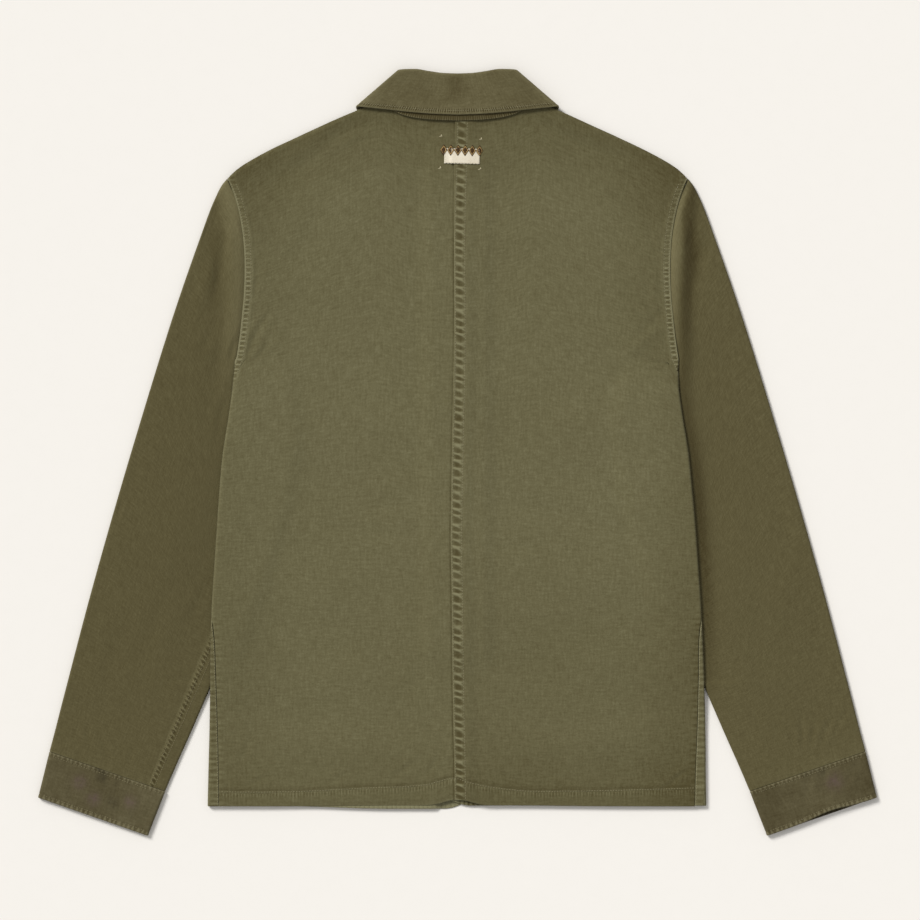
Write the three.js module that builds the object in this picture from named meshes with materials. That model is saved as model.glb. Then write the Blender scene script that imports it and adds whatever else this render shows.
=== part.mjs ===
// A field jacket in cotton twill, laid flat with its back up: the fronts lie on the
// surface, the sleeves run down beside the body with their inner edges under it, and
// the turned-down collar is closed round the neck.
// Millimetres, +Z up, +Y towards the collar. -X is the wearer's left.
// Each cut piece is a thin wall round a middle surface, which is worked out from the
// tables of sizes below. "Half" sizes are measured outwards from the centre line.
import * as THREE from "three";

// Driving sizes
const cloth = 1.1; // wall of one layer of twill
const standCloth = 1.2; // collar stand, doubled
const collarCloth = 1.6; // collar leaf, doubled and interlined
const cuffCloth = 1.7; // cuff, doubled
const hemExtra = 0.6; // the turned-up hem adds this inside
const seamGap = 0.3; // between pieces at a seam
const layer = cloth + seamGap; // height from one layer to the one that lies on it
const floorLevel = cloth / 2; // middle of a layer that lies on the surface

const hemDepth = 14.5;
const hemLevel = -361.5;
const hemFade = { near: 2, far: 60 }; // rows follow the hem's line up to here
const shoulderPoint = { half: 234.5, y: 279 };
const shoulderTurn = { start: 79, full: 92, least: 0.62, share: 0.72 }; // of half a circle
const foldTop = 90; // where the back's armhole edge turns under, at the side fold
const armpit = { half: 180, y: 60 }; // under the body, where the side seam starts
const lapRight = 5.1; // folded edge of the right back, past the centre line
const lapLeft = 4.0; // allowance of the left back, under that lap
const frontLap = 18; // each front passes the centre line by this
const frontDrawn = { rise: 6.5, width: 32 }; // the front edge is drawn up at the hem

const buttonDiameter = 17;
const buttonThickness = 2.2;
const buttonHole = { offset: 1.7, radius: 0.9 };
const buttonLevels = [236, 131, 26, -79, -184];

// The back's upper outline: the neck seam with its allowance, then the shoulder fold.
const backTop = [
  { half: 0, y: 343 },
  { half: 24, y: 343.8 },
  { half: 44, y: 346 },
  { half: 58, y: 350 },
  { half: 68, y: 355 },
  { half: 79, y: 358.5 },
  { half: 106.6, y: 346.8 },
  { half: 138, y: 332.6 },
  { half: 165, y: 320.5 },
  { half: 191, y: 308.2 },
  { half: 213.5, y: 295.8 },
  { half: 226, y: 287.2 },
  { half: 234.5, y: 279 },
];

// The armhole seam on the back, from the shoulder point to the side fold, and on the
// fronts, which are cut in deeper and end at the armpit.
const armhole = [
  { y: 279, back: 234.5, front: 234.5 },
  { y: 261, back: 227.4, front: 224 },
  { y: 242, back: 222.4, front: 214.5 },
  { y: 220, back: 218.8, front: 208 },
  { y: 200, back: 217.3, front: 205 },
  { y: 180, back: 217.1, front: 203 },
  { y: 160, back: 217.9, front: 201 },
  { y: 140, back: 219.7, front: 198 },
  { y: 120, back: 221.9, front: 194.4 },
  { y: 104, back: 224.1, front: 190.8 },
  { y: 90, back: 226, front: 187.4 },
  { y: 60, back: 226, front: 180 },
];
// From the side fold to the armpit the back's edge runs under the body.
const armholeUnder = [
  { half: 222, y: 84 },
  { half: 211, y: 75.5 },
  { half: 196, y: 67 },
  { half: 180, y: 60 },
];

// The body's side folds. "seam" is how far the side seam (above the armpit the back's
// edge) lies inside the fold, on the underside where it is positive and on the back
// where it is negative. "top" and "under" are the levels of the two layers at the fold.
const side = [
  { y: 90, left: 227.2, right: 225.4, seam: 0.4, top: 5.9, under: 4.25 },
  { y: 84, left: 227.8, right: 225.5, seam: 5, top: 6.1, under: 4.25 },
  { y: 75.5, left: 228.6, right: 225.6, seam: 16, top: 6.3, under: 4.25 },
  { y: 67, left: 229.6, right: 225.8, seam: 32, top: 6.5, under: 4.25 },
  { y: 60, left: 230.2, right: 226.4, seam: 47.8, top: 6.6, under: 4.25 },
  { y: 36, left: 233.6, right: 229.8, seam: 40.5, top: 7.1, under: 4.25 },
  { y: 0, left: 239.2, right: 235.6, seam: 31, top: 7.4, under: 4.25 },
  { y: -25, left: 241.8, right: 238.2, seam: 25, top: 7.6, under: 4.25 },
  { y: -70, left: 245, right: 242.4, seam: 16, top: 7.6, under: 4.25 },
  { y: -115, left: 248, right: 245.6, seam: 8.4, top: 7.5, under: 4.25 },
  { y: -155, left: 250.6, right: 248.4, seam: 2.2, top: 7.3, under: 4.25 },
  { y: -192, left: 251.9, right: 250.2, seam: -3.4, top: 7.1, under: 4.25 },
  { y: -228, left: 252.2, right: 251.6, seam: -5.2, top: 6.8, under: 4.25 },
  { y: -246, left: 252.4, right: 252, seam: -6, top: 6.2, under: 4 },
  { y: -262, left: 252.7, right: 252.6, seam: -6.8, top: 5.2, under: 2.2 },
  { y: -282, left: 253.1, right: 253, seam: -7.8, top: 4.5, under: 0.8 },
  { y: -300, left: 253.5, right: 253.2, seam: -8.7, top: 4.3, under: 0.55 },
  { y: -330, left: 254.3, right: 253.4, seam: -10, top: 4.3, under: 0.55 },
  { y: -362, left: 255, right: 253.8, seam: -11, top: 4.3, under: 0.55 },
];

// The sleeve's folds: the outer one shows all the way, the inner one runs under the
// body from the armpit until it comes out beside the hem.
const sleeveOuter = [
  { half: 234.8, y: 278.4 },
  { half: 240.6, y: 271 },
  { half: 246.6, y: 259 },
  { half: 251.9, y: 246.6 },
  { half: 260.7, y: 222.4 },
  { half: 278, y: 173.4 },
  { half: 294.3, y: 124.4 },
  { half: 317, y: 51 },
  { half: 346.2, y: -46.9 },
  { half: 373.8, y: -144.8 },
  { half: 399.5, y: -242.8 },
  { half: 415.6, y: -306 },
];
const sleeveInner = [
  { half: 180.6, y: 59.2 },
  { half: 176.5, y: 34 },
  { half: 178, y: -2 },
  { half: 187, y: -50 },
  { half: 204, y: -110 },
  { half: 226, y: -172 },
  { half: 241, y: -212 },
  { half: 254, y: -243 },
  { half: 264.6, y: -267.5 },
  { half: 275.3, y: -292 },
  { half: 286, y: -316 },
  { half: 299, y: -346 },
];
const cuffEnd = { outer: { half: 427.2, y: -352.9 }, inner: { half: 316.7, y: -391.3 } };

// The fronts' neck seam, from the shoulder to past the centre line.
const frontNeck = [
  { half: 81.6, y: 353 },
  { half: 80.6, y: 340 },
  { half: 75, y: 317 },
  { half: 60, y: 291 },
  { half: 34, y: 271.5 },
  { half: 8, y: 264.5 },
  { half: -18, y: 262.5 },
];

// The collar, section by section from the centre back round the side fold to the front
// edge: its crease and its free edge in plan, and the levels at the crease, beside it and
// at the free edge.
const collar = [
  { creaseX: 0, creaseY: 385.6, edgeX: 0, edgeY: 343.7, crease: 3.9, near: 5.8, far: 9.7 },
  { creaseX: 14, creaseY: 386.1, edgeX: 24, edgeY: 344.6, crease: 4.0, near: 6.0, far: 9.6 },
  { creaseX: 29, creaseY: 388, edgeX: 49, edgeY: 346.5, crease: 4.5, near: 6.7, far: 9.4 },
  { creaseX: 43, creaseY: 390.1, edgeX: 73, edgeY: 349.2, crease: 5.3, near: 7.4, far: 9.0 },
  { creaseX: 53.5, creaseY: 389.9, edgeX: 92, edgeY: 351.1, crease: 5.9, near: 7.9, far: 8.8 },
  { creaseX: 59.8, creaseY: 389.2, edgeX: 102.4, edgeY: 352.2, crease: 5.2, near: 7.6, far: 8.5 },
  { creaseX: 60.6, creaseY: 388.6, edgeX: 103.4, edgeY: 351.6, crease: 3.9, near: 4.2, far: 4.6 },
  { creaseX: 59.4, creaseY: 387.4, edgeX: 102.8, edgeY: 349.2, crease: 2.2, near: 1.3, far: 1.2 },
  { creaseX: 54, creaseY: 379, edgeX: 98, edgeY: 340, crease: 1.2, near: 0.8, far: 0.8 },
  { creaseX: 43, creaseY: 359, edgeX: 86, edgeY: 316, crease: 1.2, near: 0.8, far: 0.8 },
  { creaseX: 30, creaseY: 335, edgeX: 72, edgeY: 288, crease: 1.2, near: 0.8, far: 0.8 },
  { creaseX: 17, creaseY: 311, edgeX: 57, edgeY: 259, crease: 1.2, near: 0.8, far: 0.8 },
  { creaseX: 4, creaseY: 288, edgeX: 42, edgeY: 230, crease: 1.2, near: 0.8, far: 0.8 },
];
const creaseRoll = 2.2; // how far from the crease the leaf is flat again

// The collar stand in the same way: its top at the crease, its lower edge at the neck.
const stand = [
  { topX: 0, topY: 384.6, lowX: 0, lowY: 337.8, top: 2.2, low: 7.9 },
  { topX: 14, topY: 385.1, lowX: 22, lowY: 338.6, top: 2.3, low: 7.7 },
  { topX: 28, topY: 386.8, lowX: 42, lowY: 340.6, top: 2.8, low: 7.2 },
  { topX: 41, topY: 387.6, lowX: 58, lowY: 344.4, top: 3.6, low: 7.1 },
  { topX: 50.5, topY: 385.4, lowX: 70, lowY: 351.6, top: 4.2, low: 7.1 },
  { topX: 55.2, topY: 381.6, lowX: 79, lowY: 362.4, top: 3.9, low: 6.6 },
  { topX: 55.6, topY: 380.6, lowX: 80, lowY: 363.2, top: 3.3, low: 4.9 },
  { topX: 54.6, topY: 378, lowX: 80.2, lowY: 359.6, top: 2.9, low: 3.2 },
];
const standFront = { crease: { x: 4, y: 288 }, level: 2.9, start: 0.03, setOff: 0.45 };

const label = { x: 4.6, y: 301.6, width: 36, height: 15.4, thickness: 1 };

// Smooth steps and curves through a table
function step(from, to, at) {
  const t = THREE.MathUtils.clamp((at - from) / (to - from), 0, 1);
  return t * t * (3 - 2 * t);
}

function hermite(knots, values, at) {
  const last = knots.length - 1;
  const up = knots[last] > knots[0] ? 1 : -1;
  const t = THREE.MathUtils.clamp(at * up, knots[0] * up, knots[last] * up) * up;
  let i = 0;
  while (i < last - 1 && (t - knots[i + 1]) * up > 0) i++;
  const slope = (a, b) => (values[b] - values[a]) / (knots[b] - knots[a]);
  const slopeAt = (k) => slope(Math.max(k - 1, 0), Math.min(k + 1, last));
  const span = knots[i + 1] - knots[i];
  const s = (t - knots[i]) / span;
  const rise = values[i + 1] - values[i];
  const leaving = slopeAt(i) * span * s * (1 - s) ** 2;
  const arriving = slopeAt(i + 1) * span * s * s * (s - 1);
  return values[i] + rise * s * s * (3 - 2 * s) + leaving + arriving;
}

function column(table, key, name, at) {
  return hermite(
    table.map((row) => row[key]),
    table.map((row) => row[name]),
    at,
  );
}

// A plan curve through a table of points, by its share of length.
function planCurve(table) {
  const lengths = [0];
  for (let i = 1; i < table.length; i++) {
    const chord = Math.hypot(table[i].half - table[i - 1].half, table[i].y - table[i - 1].y);
    lengths.push(lengths[i - 1] + chord);
  }
  const total = lengths[lengths.length - 1];
  const halves = table.map((row) => row.half);
  const levels = table.map((row) => row.y);
  return (share) => ({
    half: hermite(lengths, halves, share * total),
    y: hermite(lengths, levels, share * total),
  });
}

const outerFold = planCurve(sleeveOuter);
const innerFold = planCurve(sleeveInner);
const neckLine = planCurve(frontNeck);
const shown = armhole.slice(0, -1).map((row) => ({ half: row.back, y: row.y }));
const backArmhole = planCurve([...shown, ...armholeUnder]);
const frontArmhole = planCurve(armhole.map((row) => ({ half: row.front, y: row.y })));

const sideName = (sign) => (sign < 0 ? "left" : "right");
const sideFold = (sign, y) => column(side, "y", sideName(sign), y);
const bell = (at, width) => Math.exp(-((at / width) ** 2));

// Levels of the middle surfaces
// The back lies at its own level and bulges over what is under it, and at its felled
// armhole seams and its side folds.
const backRest = 4.3;
const overFront = 1.75;
function backLevel(sign, half, y) {
  const base = softMax(backRest, hiddenLevel(half, y) + overFront, 0.8);
  if (y >= foldTop) return base + armholeRise(half, y, base) + swell(half, y);
  const inside = sideFold(sign, y) - half;
  const raised = Math.max(column(side, "y", "top", y) - base, 0);
  return base + raised * (1 - step(2, 70, inside)) + swell(half, y);
}

const softMax = (a, b, soft) => (a + b + Math.hypot(a - b, soft)) / 2;

function armholeRise(half, y, base) {
  const inside = column(armhole, "y", "back", y) - half;
  const strip = 5.8 - 0.5 * step(7.5, 11, inside) - 0.3 * step(11, 30, inside);
  return Math.max(strip - base, 0) * (1 - step(14, 64, inside));
}

// The level of the layer under the back: the fronts, and past their neck seam the
// collar's stand.
function hiddenLevel(half, y) {
  const lapped = layer * (1 - step(24, 46, half)) * (1 - step(300, 330, y));
  const hems = 2 * hemExtra * (1 - step(hemLevel + hemDepth + 6, hemLevel + hemDepth + 34, y));
  return frontLevel(half, y) + lapped + hems;
}

// The largest folds that show on the back, as soft ridges and troughs.
const swells = [
  { half: 150, y: 292, along: 62, across: 11, angle: -24, high: -0.7 },
  { half: 196, y: 128, along: 26, across: 5, angle: 44, high: -0.55 },
  { half: 186, y: 112, along: 34, across: 8, angle: 40, high: 0.7 },
  { half: 150, y: 40, along: 80, across: 26, angle: 12, high: 0.6 },
  { half: 120, y: -120, along: 90, across: 34, angle: -14, high: 0.5 },
  { half: 110, y: -300, along: 90, across: 20, angle: 6, high: 0.6 },
];
const swell = (half, y) => foldHeight(swells, half, y) * step(0, 30, half);

function foldHeight(folds, half, y) {
  let sum = 0;
  for (const fold of folds) {
    const angle = THREE.MathUtils.degToRad(fold.angle);
    const dx = half - fold.half;
    const dy = y - fold.y;
    const along = dx * Math.cos(angle) + dy * Math.sin(angle);
    const across = -dx * Math.sin(angle) + dy * Math.cos(angle);
    sum += fold.high * bell(along, fold.along) * bell(across, fold.across);
  }
  return sum;
}

// The fronts lie on the surface, except over the collar's leaves, their buttons and the
// hidden part of the sleeves.
function frontLevel(half, y) {
  const turned = 0.6 * step(333, 347, y);
  const overLeaf = (collarCloth + seamGap + turned) * leafCover(half, y);
  const last = buttonLevels[buttonLevels.length - 1];
  const ends = step(last - 62, last - 14, y) * (1 - step(292, 326, y));
  const overButtons = (buttonThickness + seamGap) * ends * (1 - step(24, 60, half));
  return floorLevel + Math.max(overLeaf, overButtons) + overSleeve(half, y);
}

function leafCover(half, y) {
  const leafEdge = 42 + ((y - 230) * (102 - 42)) / (352 - 230);
  return step(188, 222, y) * (1 - step(leafEdge + 14, leafEdge + 52, half));
}

function overSleeve(half, y) {
  const edge = column(armhole, "y", "front", y) - half;
  const lap = layer * (1 - step(10, 26, edge)) * step(armpit.y, armpit.y + 24, y);
  const fold = y > armpit.y ? edge + half : column(sleeveInner, "y", "half", y);
  const full = column(side, "y", "under", y) - floorLevel;
  const faded = 1 - step(armpit.y + 4, armpit.y + 62, y);
  return Math.max(lap, full * faded * step(fold - 40, fold - 5, half));
}

// Where a body layer turns round the side fold: its radius and the start of the turn.
function sideTurn(sign, y) {
  const under = column(side, "y", "under", y);
  let start = sideFold(sign, y) - 2;
  let radius = 1;
  for (let pass = 0; pass < 4; pass++) {
    radius = (backLevel(sign, start, y) - under) / 2;
    start = sideFold(sign, y) - radius - cloth / 2;
  }
  return { under, radius, start, top: under + 2 * radius };
}

// The side seam's place along the cloth, past the start of the turn from the back.
function seamPlace(sign, y) {
  const { radius } = sideTurn(sign, y);
  const middle = (sideFold(-1, y) + sideFold(1, y)) / 2;
  const inside = column(side, "y", "seam", y) + (sideFold(sign, y) - middle) * step(-60, 0, y);
  const quarter = (Math.PI / 2) * radius;
  if (Math.abs(inside) < radius) return quarter + (inside / radius) * quarter;
  return quarter + Math.sign(inside) * (Math.abs(inside) - radius + quarter);
}

// Half the gap at the side seam, a little wider where it crosses the fold.
function sideGap(y) {
  return (seamGap / 2) * (1 + 1.3 * bell(column(side, "y", "seam", y), 5));
}

// A point of the back from its place on the flat cut, round both folds.
function backSkin(sign, half, y) {
  if (y < foldTop) {
    const turn = sideTurn(sign, y);
    if (half > turn.start) return turned(turn, half - turn.start, y, sign);
  }
  const { top, share, radius } = shoulderFold(sign, half);
  const start = top - share * (radius + cloth / 2);
  if (y <= start || share === 0) return place(sign, half, y, backLevel(sign, half, y));
  const angle = (y - start) / radius;
  const centre = backLevel(sign, half, start) - radius;
  return place(sign, half, start + radius * Math.sin(angle), centre + radius * Math.cos(angle));
}

function turned(turn, past, y, sign) {
  const angle = past / turn.radius;
  const centre = turn.under + turn.radius;
  if (angle < Math.PI) {
    const half = turn.start + turn.radius * Math.sin(angle);
    return place(sign, half, y, centre + turn.radius * Math.cos(angle));
  }
  return place(sign, turn.start - (past - Math.PI * turn.radius), y, turn.under);
}

function place(sign, half, y, z) {
  return new THREE.Vector3(sign * half, y, z);
}

// The back's fold at the shoulder: its level in plan, how much of it turns, its radius.
function shoulderFold(sign, half) {
  const top = column(backTop, "half", "y", half);
  const under = frontLevel(half, top - 6) + layer + 0.2;
  const radius = Math.max((backLevel(sign, half, top - 4) - under) / 2, shoulderTurn.least);
  return { top, share: step(shoulderTurn.start, shoulderTurn.full, half), radius };
}

// The upper cut edge of the back, with what turns over the shoulder.
function backCut(sign, half) {
  const { top, share, radius } = shoulderFold(sign, half);
  return top + share * (shoulderTurn.share * Math.PI * radius - radius - cloth / 2);
}

// The hems: the back's rides up at its centre seam, the left front hangs a little lower.
const backHem = (half) => hemLevel + 6.2 * bell(half - 2, 17) + 0.9 * bell(half - 60, 60);
const frontHemDrop = (sign, half) => (sign < 0 ? -2.6 * (1 - step(70, 170, half)) : 0.6);
const frontCorner = (half) =>
  frontDrawn.rise * (1 - step(-frontLap, frontDrawn.width - frontLap, half));

// The direction of a line of unevenly spaced points at one of them.
function tangent(pointAt, k, first, last) {
  const edge = k === first ? 1 : k === last ? -1 : 0;
  const one = edge ? pointAt(k + edge) : pointAt(k - 1);
  const two = edge ? pointAt(k + 2 * edge) : pointAt(k + 1);
  const here = pointAt(k);
  const near = one.clone().sub(here);
  const far = edge ? two.clone().sub(one) : two.clone().sub(here);
  const a = near.length();
  const b = far.length();
  near.divideScalar(a);
  far.divideScalar(b);
  if (!edge) return far.multiplyScalar(a).addScaledVector(near, -b);
  const share = a / (a + b);
  return near.multiplyScalar(1 + share).addScaledVector(far, -share).multiplyScalar(edge);
}

// Walls
// A wall round a middle surface: rows of points, its thickness towards the outside and
// the inside of the garment, and whether its rows close on themselves.
function wall(rows, outward, outside, inside, closed = false) {
  const lines = rows.length;
  const across = rows[0].length;
  const last = across - 1;
  const at = (i, j) => {
    const line = Math.min(Math.max(i, 0), lines - 1);
    const wrap = (j + across) % across;
    return rows[line][closed ? wrap : Math.min(Math.max(j, 0), last)];
  };
  const normals = rows.map((row, i) =>
    row.map((point, j) => {
      const down = tangent((k) => at(k, j), i, 0, lines - 1);
      const along = closed
        ? tangent((k) => at(i, k), j, -across, 2 * across)
        : tangent((k) => at(i, k), j, 0, last);
      return down.cross(along).normalize();
    }),
  );
  const check = normals[outward.row][outward.column];
  const facing = Math.sign(check.z) * outward.up;
  const positions = [];
  const skin = (depthOf, sign) =>
    rows.forEach((row, i) =>
      row.forEach((point, j) => {
        const moved = normals[i][j].clone().multiplyScalar(facing * sign * depthOf(i, j));
        positions.push(...moved.add(point).toArray());
      }),
    );
  skin(outside, 1);
  skin(inside, -1);
  const offset = lines * across;
  const index = [];
  const quad = (a, b, c, d) => index.push(a, b, c, a, c, d);
  const columns = closed ? across : across - 1;
  for (let i = 0; i < lines - 1; i++) {
    for (let j = 0; j < columns; j++) {
      const next = (j + 1) % across;
      const a = i * across + j;
      const b = i * across + next;
      const c = (i + 1) * across + next;
      const d = (i + 1) * across + j;
      quad(a, b, c, d);
      quad(offset + d, offset + c, offset + b, offset + a);
    }
  }
  for (let j = 0; j < columns; j++) {
    const next = (j + 1) % across;
    const end = (lines - 1) * across;
    quad(offset + j, offset + next, next, j);
    quad(end + j, end + next, offset + end + next, offset + end + j);
  }
  if (!closed) {
    for (let i = 0; i < lines - 1; i++) {
      const a = i * across;
      const b = (i + 1) * across;
      quad(a, b, offset + b, offset + a);
      quad(offset + a + last, offset + b + last, b + last, a + last);
    }
  }
  const geometry = new THREE.BufferGeometry();
  geometry.setAttribute("position", new THREE.Float32BufferAttribute(positions, 3));
  geometry.setIndex(volume(positions, index) < 0 ? index.slice().reverse() : index);
  geometry.computeVertexNormals();
  return geometry;
}

function volume(positions, index) {
  const corner = (k) => new THREE.Vector3().fromArray(positions, 3 * index[k]);
  let sum = 0;
  for (let k = 0; k < index.length; k += 3) {
    sum += corner(k).dot(corner(k + 1).cross(corner(k + 2)));
  }
  return sum;
}

const even = (count) => Array.from({ length: count + 1 }, (_, i) => i / count);
const constant = (value) => () => value;

// Row levels shared by the side edges of the back and the fronts, so that they meet.
const sideLevels = [
  60, 46, 24, 0, -32, -68, -104, -136, -153, -160, -166, -171, -177, -186, -204, -222,
  -239, -251, -264, -280, -302, -328, -344, hemLevel + hemDepth, -354, hemLevel,
];
const hemRows = 3;

// Places across a row near its outer edge: even ones, or where the row goes round the
// side fold ones that follow the turn.
function edgePlaces(end, zone, turn, around) {
  const plain = even(6).map((share) => end - zone * (1 - share) ** 1.5);
  if (around <= 0) return plain;
  const arc = Math.min(Math.PI * turn.radius, end - turn.start);
  const rest = Math.max(end - turn.start - arc, 0);
  const round = [-7, 0, arc / 3, (2 * arc) / 3, arc, arc + rest / 2, arc + rest];
  const share = step(0, 3.4, around);
  return plain.map((half, i) => THREE.MathUtils.lerp(half, turn.start + round[i], share));
}

// Back
// Rows above the armpit, as distances down the armhole edge from the upper cut.
const backRows = [
  0, 1.3, 2.6, 4.2, 7.5, 14, 25, 39, 55, 73, 92, 112, 132, 150, 166, 180, 188.6,
  191.6, 195, 199.4, 205, 211.8,
];

function backPanel(sign) {
  const topCut = backCut(sign, shoulderPoint.half);
  const levels = [...backRows.map((down) => topCut - down), ...sideLevels];
  const hemStart = levels.length - hemRows;
  const rows = levels.map((level, i) => {
    const end = backEnd(sign, level);
    const towardsTop = 1 - step(20, 420, topCut - level);
    const towardsHem = 1 - step(hemFade.near, hemFade.far, level - hemLevel);
    const lap = layer + (i >= hemStart ? hemExtra : 0);
    return backColumns(sign, level, end).map((half) => {
      const raised = towardsTop * (backCut(sign, half) - backCut(sign, end));
      const hem = towardsHem * (backHem(Math.abs(half)) - hemLevel);
      const point = backSkinRow(sign, half, level + raised + hem, level);
      if (sign > 0) point.z += lap * (1 - step(4.6, 8.2, half));
      return point;
    });
  });
  const inside = (i) => cloth / 2 + (i >= hemStart ? hemExtra : 0);
  return wall(rows, { row: 20, column: 5, up: 1 }, constant(cloth / 2), inside);
}

// Points round the side fold follow their own row.
function backSkinRow(sign, half, y, level) {
  if (level < foldTop && half > sideTurn(sign, level).start) return backSkin(sign, half, level);
  return backSkin(sign, half, y);
}

function backEnd(sign, level) {
  if (level >= foldTop) return column(armhole, "y", "back", level);
  return sideTurn(sign, level).start + seamPlace(sign, level) - sideGap(level);
}

function backColumns(sign, level, end) {
  const first = sign > 0 ? -lapRight : -lapLeft;
  const turn = level < foldTop ? sideTurn(sign, level) : { start: end, radius: 1 };
  const past = level < foldTop ? end - turn.start - 2 * turn.radius : 0;
  const edges = edgePlaces(end, 11, turn, past);
  const halves = [first, 4.4, 8.4, 24];
  for (const share of [0.22, 0.46, 0.72]) halves.push(24 + share * (edges[0] - 24));
  return [...halves, ...edges];
}

// Fronts
// The first rows start at the neck seam, the others at the front edge. The numbers are
// levels at the outer edge.
const neckSteps = 9;
const frontRows = [
  275.8, 266, 254, 239, 222, 205, 190, 174, 159, 144, 128, 112, 97, 84, 71, ...sideLevels,
];

function frontPanel(sign) {
  const topLevel = frontRows[0];
  const hemStart = frontRows.length - hemRows;
  const rows = frontRows.map((level, i) => {
    const end = frontEnd(sign, level);
    const inner = frontInner(i, level);
    const curve = 1 - step(0, 130, topLevel - level);
    const lap = sign > 0 ? layer + (i >= hemStart - 1 ? hemExtra : 0) : 0;
    return frontColumns(sign, level, end, inner.half).map((half) => {
      const share = (half - inner.half) / (end - inner.half);
      const chord = THREE.MathUtils.lerp(inner.y, level, share);
      const seam = column(backTop, "half", "y", half) - 3.2;
      const straight = THREE.MathUtils.lerp(neckLine(0).y, topLevel, share);
      const top = half > 81 ? curve * (seam - straight) * step(81, 95, half) : 0;
      const hem = 1 - step(hemFade.near, hemFade.far, level - hemLevel);
      const drop = hem * (frontHemDrop(sign, half) + frontCorner(half));
      return frontSkin(sign, half, chord + top + drop, level, lap);
    });
  });
  const inside = (i) => cloth / 2 + (i >= hemStart ? hemExtra : 0);
  return wall(rows, { row: 14, column: 3, up: -1 }, constant(cloth / 2), inside);
}

function frontInner(row, level) {
  if (row <= neckSteps) return neckLine(row / neckSteps);
  const end = neckLine(1);
  const start = frontRows[neckSteps];
  return { half: end.half, y: level + (end.y - start) * step(-120, start, level) };
}

function frontEnd(sign, level) {
  if (level > armpit.y) return column(armhole, "y", "front", level);
  const turn = sideTurn(sign, level);
  return turn.start + Math.PI * turn.radius - seamPlace(sign, level) - sideGap(level);
}

const placket = [-frontLap, -4, 10, 24, 40, 60];

function frontColumns(sign, level, end, inner) {
  const above = level > armpit.y;
  const turn = above ? { start: end, radius: 1 } : sideTurn(sign, level);
  const past = above ? 0 : end - turn.start - 2 * turn.radius;
  const edges = edgePlaces(end, above ? 16 : 14, turn, past);
  const fold = above ? end : column(sleeveInner, "y", "half", level);
  const near = Math.min((fold - 56 - inner) / (fold - 56 + frontLap), 1);
  const halves = placket.map((half) => inner + (half + frontLap) * near);
  const rise = Math.min(fold, edges[0] + 2);
  halves.push((halves[halves.length - 1] + rise - 40) / 2, rise - 40, rise - 22, rise - 5);
  return [...halves, ...edges];
}

function frontSkin(sign, half, y, level, lap) {
  if (level <= armpit.y) {
    const turn = sideTurn(sign, level);
    if (half > turn.start) {
      const back = Math.PI * turn.radius - (half - turn.start);
      if (back >= 0) return turned(turn, back, y, sign);
      return place(sign, turn.start + back, y, backLevel(sign, turn.start + back, y));
    }
  }
  return place(sign, half, y, frontLevel(half, y) + lap * (1 - step(25, 40, half)));
}

// Sleeves
// Rings from the armhole to the cuff. Each goes over the top layer from the outer fold
// to the inner one and back under it.
function sleevePlan(edge, across, along) {
  const start = edge(across);
  const cuffLine = between(outerFold(1), innerFold(1), across);
  const outer = outerFold(along);
  const inner = innerFold(along);
  const mix = (name) => {
    const lines = (1 - along) * start[name] + along * cuffLine[name];
    const folds = (1 - across) * outer[name] + across * inner[name];
    const near = (1 - across) * edge(0)[name] + across * edge(1)[name];
    return lines + folds - (1 - along) * near - along * cuffLine[name];
  };
  return { half: mix("half"), y: mix("y") };
}

// The sleeve's edge at the armhole passes under the back's felled edge.
function sleeveStart(curve, away, fade) {
  return (share) => {
    const point = curve(share);
    const lap = 5 * step(0.03, 0.12, share) * (1 - step(fade, fade + 0.14, share));
    return { half: point.half + away - lap, y: point.y - away * step(0.8, 1, share) };
  };
}
const topStart = sleeveStart(backArmhole, 0.7, 0.56);
const underStart = sleeveStart(frontArmhole, 0.7, 0.7);

const sleeveFull = 3.6; // rise of the top layer over the bottom one, away from the body
const sleeveHidden = 2.1; // and where the body lies on it

function sleeveRise(half, y, along) {
  let edge = sideFold(-1, y) + 3;
  if (y > foldTop) edge = sideFold(-1, foldTop) + 3 - 1.3 * (y - foldTop);
  if (y < -235) edge = innerFold(along).half - 16;
  return sleeveHidden + (sleeveFull - sleeveHidden) * step(edge, edge + 46, half);
}

const sleeveSwells = [
  { half: 236, y: 232, along: 34, across: 5, angle: 76, high: 0.7 },
  { half: 248, y: 196, along: 46, across: 7, angle: 72, high: -0.8 },
  { half: 330, y: -150, along: 70, across: 16, angle: 70, high: 0.5 },
];
const foldSteps = [0, 0.3, 1]; // places over a fold, in radii from its outermost line
const sleeveFoldRadius = 1.6;
const topSteps = [0.1, 0.25, 0.4, 0.55, 0.68, 0.78, 0.88];
const underSteps = [0.75, 0.5, 0.25];

// The places of a flattened ring, from the outer fold over the top layer to the inner one
// and back: how far across, whether on the top layer, and how full the fold is there.
function ringPlaces(foldShare, top, under) {
  const round = (radii) => Math.sqrt(Math.max(0, 1 - (1 - radii) ** 2));
  const back = [...foldSteps].reverse();
  return [
    ...foldSteps.map((radii) => ({ across: radii * foldShare, top: true, full: round(radii) })),
    ...top.map((across) => ({ across, top: true, full: 1 })),
    ...back.map((radii) => ({ across: 1 - radii * foldShare, top: true, full: round(radii) })),
    ...foldSteps.slice(1).map((radii) => ({ across: 1 - radii * foldShare, full: round(radii) })),
    ...under.map((across) => ({ across, full: 1 })),
    ...back.slice(0, -1).map((radii) => ({ across: radii * foldShare, full: round(radii) })),
  ];
}

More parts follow.
